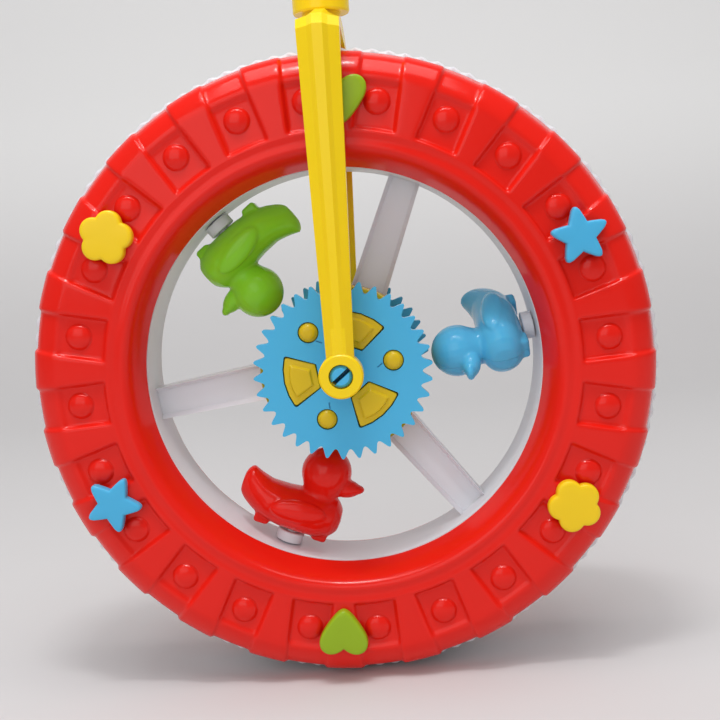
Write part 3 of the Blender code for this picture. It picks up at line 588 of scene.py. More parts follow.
def cover_rows(sizes, back):
    """The cover's section as (radius, depth, panel fall in radius, panel fall in depth)."""
    rim, lip, face = sizes.rim, sizes.lip, sizes.face
    deep, fall = sizes.panel_depth, sizes.scallop
    roof = face - 4.2 * MM
    return [
        (rim - 2.4 * MM, back, 0.0, 0.0),
        (rim - 0.4 * MM, back, 0.0, 0.0),
        (rim, back + 0.3 * MM, 0.0, 0.0),
        (rim, back + 1.6 * MM, fall * 0.6, 0.0),
        (rim - 0.15 * MM, back + 3.4 * MM, fall, 0.0),
        (rim - 0.8 * MM, back + 5.6 * MM, fall, 0.2 * fall),
        (rim - 2.1 * MM, back + 7.7 * MM, fall, 0.4 * fall),
        (rim - 4.0 * MM, face - 1.9 * MM, fall, 0.7 * fall),
        (rim - 6.4 * MM, face - 0.6 * MM, 0.5 * fall, fall),
        (rim - 8.0 * MM, face - 0.1 * MM, 0.0, fall),
        (rim - 9.0 * MM, face, 0.0, fall + 0.1 * MM),
        (rim - 9.7 * MM, face, 0.0, 0.75 * deep),
        (rim - 10.4 * MM, face, 0.0, deep),
        (rim - 12.5 * MM, face, 0.0, deep),
        (rim - 16.5 * MM, face, 0.0, deep),
        (rim - 20.5 * MM, face, 0.0, deep),
        (lip + 12.1 * MM, face, 0.0, deep),
        (lip + 11.5 * MM, face, 0.0, 0.75 * deep),
        (lip + 10.9 * MM, face, 0.0, 0.0),
        (lip + 10.2 * MM, face + 0.1 * MM, 0.0, 0.0),
        (lip + 9.3 * MM, face - 0.1 * MM, 0.0, 0.0),
        (lip + 8.4 * MM, face - 0.28 * MM, 0.0, 0.0),
        (lip + 7.5 * MM, face - 0.22 * MM, 0.0, 0.0),
        (lip + 6.7 * MM, face + 0.02 * MM, 0.0, 0.0),
        (lip + 5.8 * MM, face + 0.1 * MM, 0.0, 0.0),
        (lip + 4.9 * MM, face - 0.25 * MM, 0.0, 0.0),
        (lip + 4.1 * MM, face - 0.95 * MM, 0.0, 0.0),
        (lip + 3.3 * MM, face - 2.1 * MM, 0.0, 0.0),
        (lip + 2.5 * MM, face - 3.7 * MM, 0.0, 0.0),
        (lip + 1.7 * MM, face - 5.7 * MM, 0.0, 0.0),
        (lip + 1.0 * MM, face - 7.8 * MM, 0.0, 0.0),
        (lip + 0.4 * MM, face - 9.6 * MM, 0.0, 0.0),
        (lip + 0.1 * MM, face - 10.4 * MM, 0.0, 0.0),
        (lip, face - 10.8 * MM, 0.0, 0.0),
        (lip, back, 0.0, 0.0),
        (lip + 2.4 * MM, back, 0.0, 0.0),
        (lip + 7.8 * MM, roof, 0.0, 0.0),
        (rim - 9.0 * MM, roof, 0.0, 0.0),
    ]


class TOY_OT_covers(bpy.types.Operator):
    """Red covers: one panel is shaped, spun round the wheel and given its domes"""
    bl_idname = "toy.covers"
    bl_label = "Covers"

    def execute(self, context):
        sizes = context.scene.toy_cover
        ring = self.ring(sizes)
        domes = self.domes(sizes)
        whole = joined(ring, domes)
        whole.name = "cover_front_moulding"
        whole.data.name = whole.name
        rear = copied(whole, "cover_rear_moulding", facing(-1))
        for item, (where, _side) in zip((whole, rear), SIDES):
            item.data.transform(wheel_place())
            settle(item, "wheel", plastic("red"), [f"cover_{where}"], 50.0, flat=False)
        return {"FINISHED"}

    def ring(self, sizes):
        """One panel and half a block on each side, repeated all round and smoothed."""
        back = context_half_width() + 0.3 * MM
        rows = cover_rows(sizes, back)
        half_pitch = math.pi / sizes.panels
        across = [0.0, 3.4 * MM, 5.3 * MM, sizes.panel_half - 0.3 * MM, sizes.panel_half + 0.2 * MM,
                  sizes.panel_half + 0.7 * MM, sizes.panel_half + 1.4 * MM]
        share = [0.0, 0.0, 0.0, 0.0, 0.5, 1.0, 1.0]
        columns = [(-w, s) for w, s in zip(reversed(across[1:]), reversed(share[1:]))]
        columns += list(zip(across, share))
        begin()
        bpy.ops.mesh.primitive_grid_add(
            x_subdivisions=len(columns) + 1, y_subdivisions=len(rows) - 1, size=2.0, calc_uvs=False)
        sector = added("cover_sector")
        last_column, last_row = len(columns) + 1, len(rows) - 1
        middle = half_pitch
        for vertex in sector.data.vertices:
            column = round((vertex.co.x + 1.0) / 2.0 * last_column)
            radius, depth, fall_r, fall_d = rows[round((vertex.co.y + 1.0) / 2.0 * last_row)]
            if column in (0, last_column):
                turn = middle + (-half_pitch if column == 0 else half_pitch)
            else:
                wide, block = columns[column - 1]
                radius -= fall_r * (1.0 - block)
                depth -= fall_d * (1.0 - block)
                turn = middle + math.asin(wide / radius)
            vertex.co = (radius * math.cos(turn), -depth, radius * math.sin(turn))
        edit(sector)
        bpy.ops.mesh.spin(
            steps=sizes.panels - 1, dupli=True, angle=FULL_TURN * (1.0 - 1.0 / sizes.panels),
            center=(0.0, 0.0, 0.0), axis=(0.0, 1.0, 0.0))
        edit(sector)
        bpy.ops.mesh.remove_doubles(threshold=0.01 * MM)
        self.close_section(sector, rows)
        close_up(sector)
        return modify(sector, "SUBSURF", levels=1, render_levels=1)

    def close_section(self, sector, rows):
        """Bridge the section's first and last rows, so the moulding is a closed body."""
        bpy.ops.mesh.select_all(action="DESELECT")
        bpy.ops.mesh.select_non_manifold(extend=False)
        bpy.ops.mesh.bridge_edge_loops()

    def domes(self, sizes):
        steps = 28
        profile = [(0.0, sizes.dome_height)]
        for degrees in (18.0, 36.0, 54.0, 70.0, 82.0):
            turn = math.radians(degrees)
            profile.append((sizes.dome * math.sin(turn), sizes.dome_height * math.cos(turn)))
        profile += [(sizes.dome + 0.25 * MM, 0.05 * MM),
            (sizes.dome + 0.5 * MM, -0.2 * MM), (0.0, -0.3 * MM)]
        dome = turned("domes", profile, steps)
        floor = sizes.face - sizes.panel_depth
        dome.data.transform(Matrix.Translation((0.0, -floor, 0.0)) @ on_axle(1))
        copies = []
        for index in range(sizes.panels):
            x, z = polar(sizes.dome_ring, 360.0 * (index + 0.5) / sizes.panels)
            copies.append(copied(dome, "dome", Matrix.Translation((x, 0.0, z))))
        bpy.data.objects.remove(dome, do_unlink=True)
        return joined(*copies)


def context_half_width():
    return bpy.context.scene.toy_wheel.half_width


# Badges

def corner_cut(points, rounds):
    """A closed outline with its corners cut again and again, until it runs smoothly."""
    for _round in range(rounds):
        cut = []
        for (x, z), (next_x, next_z) in zip(points, points[1:] + points[:1]):
            cut.append((0.75 * x + 0.25 * next_x, 0.75 * z + 0.25 * next_z))
            cut.append((0.25 * x + 0.75 * next_x, 0.25 * z + 0.75 * next_z))
        points = cut
    return points


def heart_outline(width):
    """Point down, with full sides; the shares are of the heart's width."""
    half = [
        (0.035, -0.50), (0.13, -0.44), (0.26, -0.29), (0.385, -0.11), (0.475, 0.06), (0.505, 0.2),
        (0.46, 0.34), (0.34, 0.425), (0.19, 0.425), (0.06, 0.36), (0.012, 0.315),
    ]
    whole = half + [(-x, z) for x, z in reversed(half)]
    return corner_cut([(x * width, z * width) for x, z in whole], 2)


def star_outline(radius):
    """Five tips with small round ends, and straight sides."""
    points = []
    for tip in range(5):
        turn = 90.0 + 72.0 * tip
        for swing, share in ((-9.0, 0.88), (-3.6, 0.965), (0.0, 0.985), (3.6, 0.965), (9.0, 0.88)):
            points.append(polar(radius * share, turn + swing))
        points.append(polar(radius * 0.66, turn + 22.0))
        points.append(polar(radius * 0.535, turn + 36.0))
        points.append(polar(radius * 0.66, turn + 50.0))
    return points


def flower_outline(radius):
    points = []
    petal = radius * 0.48
    for index in range(5):
        turn = 90.0 + 72.0 * index
        at_x, at_z = polar(radius - petal, turn)
        for swing in range(-72, 73, 12):
            x, z = polar(petal, turn + swing)
            points.append((at_x + x, at_z + z))
    return points


class TOY_OT_badges(bpy.types.Operator):
    """Heart, star and flower badges pressed into the covers"""
    bl_idname = "toy.badges"
    bl_label = "Badges"

    def execute(self, context):
        sizes = context.scene.toy_badge
        under = context.scene.toy_cover.face + 0.25 * MM
        high = sizes.height
        levels = [
            (high - 1.1 * MM, 1.0), (high - 0.6 * MM, 0.985), (high - 0.25 * MM, 0.95),
            (high - 0.06 * MM, 0.89), (high, 0.78),
            (high + 0.05 * MM, 0.5), (high + 0.06 * MM, 0.2),
        ]
        kinds = (
            ("heart", heart_outline(sizes.heart), "heart_green", "green_plastic", 90.0),
            ("star", star_outline(sizes.star), "blue", "blue_plastic", 30.0),
            ("flower", flower_outline(sizes.flower), "flower_yellow", "yellow_plastic", 150.0),
        )
        for kind, outline, colour, slot, degrees in kinds:
            blank = pillow(kind, outline, under, levels)
            for letter, turn in (("a", degrees), ("b", degrees + 180.0)):
                x, z = polar(sizes.ring, turn)
                place = Matrix.Translation((x, 0.0, z)) @ rotation(90.0 - turn, "Y")
                for where, side in SIDES:
                    item = copied(
                        blank, f"{kind}_{letter}_{where}_badge", wheel_place() @ facing(side) @ place)
                    settle(item, "wheel", plastic(colour), [f"{kind}_{letter}_{where}"], 40.0)
            bpy.data.objects.remove(blank, do_unlink=True)
        return {"FINISHED"}


# Gears and hubs

def gear_outline(sizes):
    root, tip = sizes.gear - sizes.tooth, sizes.gear - 0.1 * MM
    span = tip - root
    half_tooth = ((0.5, 0.0), (0.43, 0.03), (0.36, 0.13),
        (0.28, 0.34), (0.2, 0.58), (0.13, 0.8), (0.07, 0.95), (0.0, 1.0))
    points = []
    pitch = 360.0 / sizes.teeth
    for tooth in range(sizes.teeth):
        middle = 90.0 + tooth * pitch
        for phase, share in half_tooth:
            points.append(polar(root + span * share, middle - pitch * phase))
        for phase, share in reversed(half_tooth[1:-1]):
            points.append(polar(root + span * share, middle + pitch * phase))
    return points


def sector_outline(inner, outer, half, corner=0.8 * MM):
    """A window between two radii and two straight sides, with round corners, about 0 degrees."""
    points = []
    steps = 5
    corners = ((outer, 1, 0), (inner, 1, 1), (inner, -1, 1), (outer, -1, 0))
    for radius, sign, is_inner in corners:
        inward = 1.0 if is_inner else -1.0
        centre_r = radius + inward * corner
        centre_turn = half - math.degrees(corner / centre_r)
        at = polar(centre_r, sign * centre_turn)
        if is_inner:
            swings = [sign * (90.0 + 90.0 * k / (steps - 1)) for k in range(steps)]
            if sign < 0:
                swings.reverse()
        else:
            swings = [sign * 90.0 * k / (steps - 1) for k in range(steps)]
            if sign < 0:
                swings.reverse()
        for swing in swings:
            x, z = polar(corner, sign * centre_turn + swing)
            points.append((at[0] + x, at[1] + z))
        if not is_inner and sign < 0:
            for degrees in (-0.5, 0.0, 0.5):
                points.append(polar(outer, half * degrees))
    return points


def turned_outline(outline, degrees):
    turn = math.radians(degrees)
    cos, sin = math.cos(turn), math.sin(turn)
    return [(x * cos - z * sin, x * sin + z * cos) for x, z in outline]


class TOY_OT_gears(bpy.types.Operator):
    """Toothed hub caps with their windows and split pins"""
    bl_idname = "toy.gears"
    bl_label = "Gears"

    def execute(self, context):
        scene = context.scene
        sizes = scene.toy_hub
        low, high = sizes.gear_face - sizes.gear_thick, sizes.gear_face
        gear = slab("gear_plate", gear_outline(sizes), low, high)
        window = sector_outline(sizes.window_in, sizes.window_out, math.degrees(sizes.window_half))
        for index in range(3):
            step = 120.0 * index
            spoke = math.degrees(scene.toy_wheel.spoke_angle) + step
            shaped(gear, slab("window", turned_outline(window, spoke), 0.0, 2 * high), "DIFFERENCE")
            x, z = polar(sizes.spot_ring, math.degrees(scene.toy_wheel.duck_angle) + step)
            hole = turned("hole", [(0.0, 0.0),
                (sizes.spot, 0.0), (sizes.spot, 2 * high), (0.0, 2 * high)], 32)
            hole.data.transform(Matrix.Translation((x, 0.0, z)) @ on_axle(1))
            shaped(gear, hole, "DIFFERENCE")
            slit_long, slit_wide = 1.0 * MM, 0.2 * MM
            slit = [(-slit_long, -slit_wide), (slit_long, -slit_wide),
                (slit_long, slit_wide), (-slit_long, slit_wide)]
            first_duck = math.degrees(scene.toy_wheel.duck_angle)
            x, z = polar(sizes.spot_ring - 4.4 * MM, first_duck + step - 3.0)
            slit = [(x + dx, z + dz) for dx, dz in turned_outline(slit, 40.0 + step)]
            shaped(gear, slab("slit", slit, high - 0.7 * MM, 2 * high), "DIFFERENCE")
        rounded(gear, 0.28 * MM, 2, 45.0)
        pin = self.split_pin(scene, low)
        joined(gear, pin)
        gear.name = "gear_front_cap"
        rear = copied(gear, "gear_rear_cap", facing(-1))
        for item, (where, _side) in zip((gear, rear), SIDES):
            item.data.transform(wheel_place())
            settle(item, "wheel", plastic("blue"), [f"gear_{where}"])
        return {"FINISHED"}

    def split_pin(self, scene, low):
        """The boss and the snap pin in the fork's eye, slotted across."""
        fork = scene.toy_fork
        sizes = scene.toy_hub
        eye_in, eye_out = fork.gap, fork.gap + fork.arm
        boss, spigot = 5.4 * MM, 3.7 * MM
        pin_r, barb = sizes.pin, sizes.barb
        pin = turned("split_pin", [
            (0.0, 0.15 * MM), (spigot - 0.4 * MM, 0.15 * MM),
            (spigot, 0.6 * MM), (spigot, low + 1.4 * MM),
            (boss, low + 1.4 * MM), (boss, eye_in - 0.7 * MM), (boss - 0.4 * MM, eye_in - 0.3 * MM),
            (pin_r, eye_in - 0.3 * MM),
            (pin_r, eye_out - 1.9 * MM), (pin_r + barb, eye_out - 1.3 * MM),
            (pin_r + barb - 0.3 * MM, eye_out - 0.9 * MM),
            (pin_r - 0.4 * MM, eye_out - 0.1 * MM), (0.0, eye_out - 0.1 * MM),
        ], 40, on_axle(1))
        slot_half = sizes.slot / 2
        reach = 2 * pin_r
        outline = [(-reach, -slot_half), (reach, -slot_half),
            (reach, slot_half), (-reach, slot_half)]
        slot = slab("slot", turned_outline(outline, 43.0), eye_in - 2 * MM, eye_out + 2 * MM)
        return shaped(pin, slot, "DIFFERENCE")


class TOY_OT_hubs(bpy.types.Operator):
    """Yellow hubs, whose pads and spots show through the gears' windows"""
    bl_idname = "toy.hubs"
    bl_label = "Hubs"

    def execute(self, context):
        scene = context.scene
        sizes = scene.toy_hub
        top = sizes.gear_face - sizes.gear_thick - 0.3 * MM
        low = scene.toy_wheel.spoke_depth + 0.3 * MM
        spoke = math.degrees(scene.toy_wheel.spoke_angle)
        outline = []
        for step in range(144):
            degrees = 2.5 * step
            nearest = abs((degrees + 60.0) % 120.0 - 60.0)
            share = min(max((20.0 - nearest) / 6.0, 0.0), 1.0)
            share = share * share * (3.0 - 2.0 * share)
            outline.append(polar(sizes.disc + (sizes.lobe - sizes.disc) * share, spoke + degrees))
        hub = slab("hub_shell", outline, low, top)
        hollow_r, roof = sizes.disc - 2.4 * MM, top - 2.4 * MM
        shaped(hub, turned("hollow", [
            (0.0, 0.0), (hollow_r, 0.0), (hollow_r, roof),
            (0.0, roof)], 48, on_axle(1)), "DIFFERENCE")
        shaped(hub, turned("bore", [
            (0.0, 0.0), (4.0 * MM, 0.0), (4.0 * MM, 40 * MM),
            (0.0, 40 * MM)], 32, on_axle(1)), "DIFFERENCE")
        rounded(hub, 0.3 * MM, 2, 45.0)
        parts = [hub]
        gap = 0.3 * MM
        half = math.degrees(sizes.window_half) - 1.3
        window = sector_outline(sizes.window_in + gap, sizes.window_out - gap, half)
        centre = (sizes.window_in + sizes.window_out) / 2
        centred = [(x - centre, z) for x, z in window]
        rise = sizes.gear_face - top
        levels = [
            (rise - 0.55 * MM, 1.0), (rise - 0.3 * MM, 0.975),
            (rise - 0.22 * MM, 0.93), (rise - 0.2 * MM, 0.7),
            (rise - 0.1 * MM, 0.675), (rise + 0.6 * MM, 0.61),
            (rise + 0.76 * MM, 0.58), (rise + 0.8 * MM, 0.5),
            (rise + 0.8 * MM, 0.2),
        ]
        pad = pillow("pad", centred, top - 0.5 * MM, [(h + 0.5 * MM, s) for h, s in levels])
        spot_r = sizes.spot - gap
        spot = turned("spot", [
            (0.0, -0.5 * MM), (spot_r, -0.5 * MM),
            (spot_r, rise - 0.45 * MM), (spot_r - 0.25 * MM, rise - 0.2 * MM),
            (spot_r * 0.84, rise - 0.05 * MM),
            (spot_r * 0.78, rise + 0.35 * MM), (spot_r * 0.62, rise + 0.66 * MM),
            (spot_r * 0.36, rise + 0.78 * MM), (0.0, rise + 0.8 * MM),
        ], 32)
        for index in range(3):
            turn = spoke + 120.0 * index
            place = Matrix.Rotation(-math.radians(turn), 4, "Y") @ Matrix.Translation((centre, 0.0, 0.0))
            parts.append(copied(pad, "pad_copy", place))
            x, z = polar(sizes.spot_ring, math.degrees(scene.toy_wheel.duck_angle) + 120.0 * index)
            parts.append(copied(spot, "spot_copy", Matrix.Translation((x, -top, z)) @ on_axle(1)))
        for blank in (pad, spot):
            bpy.data.objects.remove(blank, do_unlink=True)
        joined(*parts)
        hub.name = "hub_front_shell"
        rear = copied(hub, "hub_rear_shell", facing(-1))
        for item, (where, _side) in zip((hub, rear), SIDES):
            item.data.transform(wheel_place())
            settle(item, "wheel", plastic("hub_yellow"), [f"hub_{where}"])
        return {"FINISHED"}


# Ducks

DUCKS = (("green", "duck_green", "green_plastic", 120.0, 0.0),
         ("blue", "blue_duck", "blue_plastic", 0.0, 235.0),
         ("red", "red", "red_plastic", 240.0, 0.0))


def duck_place(scene, kind_angle):
    """From a duck's own frame, Z up from the hoop and X forward, to the wheel's frame."""
    degrees = math.degrees(scene.toy_wheel.duck_angle) + kind_angle
    stand = Matrix.Translation((0.0, 0.0, scene.toy_wheel.hoop))
    return radial(degrees) @ stand @ Matrix.Rotation(math.pi, 4, "Y")


class TOY_OT_posts(bpy.types.Operator):
    """White posts that the ducks turn on"""
    bl_idname = "toy.posts"
    bl_label = "Duck posts"

    def execute(self, context):
        sizes = context.scene.toy_duck
        pin, foot, high, neck = sizes.post_pin, sizes.post, sizes.post_foot, sizes.post_head
        profile = [
            (0.0, -3.0 * MM), (pin, -3.0 * MM),
            (pin, 0.5 * MM), (foot - 0.2 * MM, 0.5 * MM), (foot, 0.7 * MM),
            (foot, high - 0.3 * MM), (foot - 0.3 * MM, high), (pin, high), (pin, neck),
            (3.2 * MM, neck), (3.2 * MM, neck + 0.2 * MM),
            (2.0 * MM, neck + 2.0 * MM), (0.0, neck + 2.0 * MM),
        ]
        blank = turned("post", profile, 40)
        for kind, _colour, _slot, degrees, _turn in DUCKS:
            place = wheel_place() @ duck_place(context.scene, degrees)
            item = copied(blank, f"duck_post_{kind}_pin", place)
            settle(item, "wheel", plastic("white"), [f"duck_post_{kind}"])
        bpy.data.objects.remove(blank, do_unlink=True)
        return {"FINISHED"}


class TOY_OT_ducks(bpy.types.Operator):
    """Ducks in two halves, with wings in relief"""
    bl_idname = "toy.ducks"
    bl_label = "Ducks"

    stations = (
        (0.0, -20.6, 13.0, 16.0, 1.4),
        (0.05, -20.3, 11.4, 18.9, 2.8), (0.13, -18.5, 9.4, 21.4, 4.5),
        (0.23, -15.2, 7.2, 19.9, 6.5), (0.35, -11.0, 5.4, 18.6, 8.4), (0.5, -5.0, 4.4, 18.6, 10.0),
        (0.66, 2.0, 4.2, 19.4, 10.5), (0.8, 8.0, 4.4, 19.5, 9.7), (0.9, 12.2, 5.8, 18.5, 7.3),
        (0.96, 14.2, 8.0, 16.0, 4.2), (1.0, 14.8, 10.0, 13.6, 1.6),
    )

    def execute(self, context):
        scene = context.scene
        whole = self.whole(scene.toy_duck)
        halves = {"left": self.half(whole, 1), "right": self.half(whole, -1)}
        bpy.data.objects.remove(whole, do_unlink=True)
        for kind, colour, slot, degrees, turn in DUCKS:
            place = wheel_place() @ duck_place(scene, degrees) @ rotation(turn, "Z")
            for hand, blank in halves.items():
                item = copied(blank, f"duck_{kind}_{hand}_shell", place)
                settle(
                    item, f"duck_{kind}", plastic(colour), [f"duck_{kind}_{hand}"], 40.0, flat=False)
        for blank in halves.values():
            bpy.data.objects.remove(blank, do_unlink=True)
        return {"FINISHED"}

    def station(self, share):
        """Forward, underside, back and half width at a share of the way from tail to chest."""
        for before, after in zip(self.stations, self.stations[1:]):
            if share <= after[0]:
                mix = (share - before[0]) / (after[0] - before[0])
                return [a + (b - a) * mix for a, b in zip(before[1:], after[1:])]
        return list(self.stations[-1][1:])

    def body(self):
        begin()
        bpy.ops.mesh.primitive_uv_sphere_add(segments=32, ring_count=28, radius=1.0)
        item = added("duck_body")
        for vertex in item.data.vertices:
            share = math.acos(max(-1.0, min(1.0, -vertex.co.z))) / math.pi
            turn = math.atan2(vertex.co.y, vertex.co.x)
            flat = math.hypot(vertex.co.x, vertex.co.y)
            forward, under, back, wide = self.station(share)
            reach = 1.0 if 0.001 < share < 0.999 and flat > 0 else 0.0
            vertex.co = (
                forward * MM,
                reach * wide * math.cos(turn) * MM,
                ((back + under) / 2 + reach * (back - under) / 2 * math.sin(turn)) * MM,
            )
        return close_up(item)

    def oval(self, name, centre, radii, tilt=0.0):
        begin()
        bpy.ops.mesh.primitive_uv_sphere_add(segments=24, ring_count=16, radius=1.0)
        item = added(name)
        place = Matrix.Translation(Vector(centre) * MM) @ rotation(tilt, "Y")
        item.data.transform(place @ Matrix.Diagonal((*[r * MM for r in radii], 1.0)))
        return item

    def foot(self, low, high, base):
        begin()
        bpy.ops.mesh.primitive_cube_add(size=1.0)
        item = added("foot")
        top = 10.0
        size = Matrix.Diagonal(((high - low) * MM, 7.4 * MM, (top - base) * MM, 1.0))
        item.data.transform(Matrix.Translation(((low + high) / 2 * MM, 0.0, (top + base) / 2 * MM)) @ size)
        return rounded(item, 0.8 * MM, 2)

    def whole(self, sizes):
        """Body, neck, head, beak, wings and feet melted into one skin, then bored for the post."""
        head_x, head_z, head_r = sizes.head_ahead / MM, sizes.head_up / MM, sizes.head / MM
        base = sizes.base / MM
        neck = turned("neck", [
            (0.0, 14 * MM), (6.6 * MM, 14 * MM), (6.2 * MM, 17.2 * MM), (6.0 * MM, 19.4 * MM),
            (7.0 * MM, 21.8 * MM), (0.0, 24 * MM)], 32, Matrix.Translation((head_x * MM, 0.0, 0.0)))
        parts = [
            self.body(),
            neck,
            self.oval("head", (head_x, 0.0, head_z), (head_r, head_r, head_r)),
            self.oval("beak", (head_x + 7.4, 0.0, head_z - 3.4), (5.3, 3.9, 3.1), -12.0),
            self.oval("beak_tip", (head_x + 11.3, 0.0, head_z - 2.6), (2.6, 2.8, 1.55), -15.0),
            self.foot(-13.4, -8.3, base),
            self.foot(6.8, 11.8, base),
        ]
        wing = sizes.wing / MM
        for side in (1.0, -1.0):
            parts.append(self.oval("wing", (0.0, side * 8.9, 12.6), (wing / 2, 2.3, 3.8), -8.0))
        duck = joined(*parts)
        modify(duck, "REMESH", mode="VOXEL", voxel_size=0.45 * MM)
        modify(duck, "SMOOTH", factor=0.5, iterations=4)
        bore_r, head_low = sizes.post_pin + 0.3 * MM, sizes.post_head - 0.3 * MM
        pocket_r = 3.5 * MM
        bore = turned("bore", [
            (0.0, 0.0), (bore_r, 0.0), (bore_r, head_low), (pocket_r, head_low),
            (pocket_r, head_low + 2.6 * MM), (0.0, head_low + 2.6 * MM)], 24)
        return shaped(duck, bore, "DIFFERENCE")

    def half(self, whole, side):
        """One half, cut along the seam and closed."""
        item = copied(whole, "duck_half", Matrix.Identity(4))
        edit(item)
        bpy.ops.mesh.bisect(
            plane_co=(0.0, side * 0.06 * MM, 0.0), plane_no=(0.0, float(side), 0.0),
            use_fill=True, clear_inner=True, clear_outer=False, threshold=0.001 * MM)
        bpy.ops.object.mode_set(mode="OBJECT")
        return item


# Fork, pole and grip

class TOY_OT_fork(bpy.types.Operator):
    """Yellow fork: two ridged arms with eyes, the crown and the socket"""
    bl_idname = "toy.fork"
    bl_label = "Fork"

    def execute(self, context):
        sizes = context.scene.toy_fork
        fork = self.bow(sizes)
        outer = sizes.gap + sizes.arm
        for side in (1, -1):
            shaped(fork, turned("eye", [
                (0.0, sizes.gap), (sizes.eye, sizes.gap), (sizes.eye, outer - 0.6 * MM),
                (sizes.eye - 0.5 * MM, outer), (0.0, outer),
            ], 48, on_axle(side)), "UNION")
        rim = sizes.crown + sizes.crown_thick
        top = rim + sizes.socket_high
        socket = turned("socket", [
            (0.0, rim - 4.0 * MM), (sizes.arm_high * 0.45, rim - 4.0 * MM),
            (sizes.arm_high * 0.48, rim - 0.6 * MM),
            (sizes.socket - 0.3 * MM, rim - 0.6 * MM), (sizes.socket, rim),
            (sizes.socket, top - 0.5 * MM), (sizes.socket - 0.4 * MM, top), (0.0, top),
        ], 48)
        shaped(fork, socket, "UNION")
        bore_r = sizes.pole + 0.3 * MM
        bore = turned("pole_bore", [
            (0.0, top - 26.0 * MM), (bore_r, top - 26.0 * MM),
            (bore_r, top + 5.0 * MM), (0.0, top + 5.0 * MM)], 48)
        shaped(fork, bore, "DIFFERENCE")
        shaped(fork, self.eye_bore(context.scene), "DIFFERENCE")
        rounded(fork, 0.25 * MM, 2, 12.0)
        fork.data.transform(Matrix.Translation((0.0, 0.0, AXLE_Z)))
        fork.name = "fork_moulding"
        settle(fork, "handle", plastic("yellow"), ["fork"], 40.0)
        return {"FINISHED"}

    def section(self, inner, outer, width, ridge):
        """A ring from an inner to an outer (depth, height) point, flat inside, ridged outside."""
        facets = [(-0.5, 0.0), (-0.5, 0.60), (-0.24, 0.78 + (1.0 - ridge) * 0.165), (-0.12, 0.945)]
        facets += [(-across, share) for across, share in reversed(facets)]
        ring = []
        for across, share in facets:
            depth, height = (low + share * (high - low) for low, high in zip(inner, outer))
            ring.append(Vector((across * width, -depth, height)))
        return ring

    def bow(self, sizes):
        """Both arms and the crown as one bar, from the front eye over the wheel to the rear eye."""
        inner, outer, under = sizes.gap, sizes.gap + sizes.arm, sizes.crown
        low, high = sizes.arm_low, sizes.arm_high
        rows = []
        for share, ridge in ((0.0, 0.0), (0.14, 0.3), (0.27, 0.8), (0.4, 1.0)):
            rows.append(((inner, share * under),
                (outer, share * under), low + (high - low) * share, ridge))
        rows += [
            ((inner, under - sizes.arm / 3), (outer, under), high, 1.0),
            ((inner - sizes.arm / 6, under),
            (outer - sizes.arm / 2, under + sizes.crown_fall), high, 1.0),
            ((sizes.socket, under), (sizes.socket, under + sizes.crown_thick), high, 1.0),
        ]
        front = [self.section(*row) for row in rows]
        rear = [[Vector((x, -y, z)) for x, y, z in ring] for ring in reversed(front)]
        return lofted("fork", front + rear)

    def eye_bore(self, scene):
        sizes = scene.toy_fork
        pin = scene.toy_hub.pin
        out = sizes.gap + sizes.arm
        fit, sink = pin + 0.3 * MM, pin + scene.toy_hub.barb + 0.3 * MM
        half = [(0.0, out + 2 * MM), (sink, out + 2 * MM),
            (sink, out - 2.2 * MM), (fit, out - 2.2 * MM)]
        profile = half + [(r, -h) for r, h in reversed(half)]
        return turned("eye_bore", profile, 48, on_axle(1))


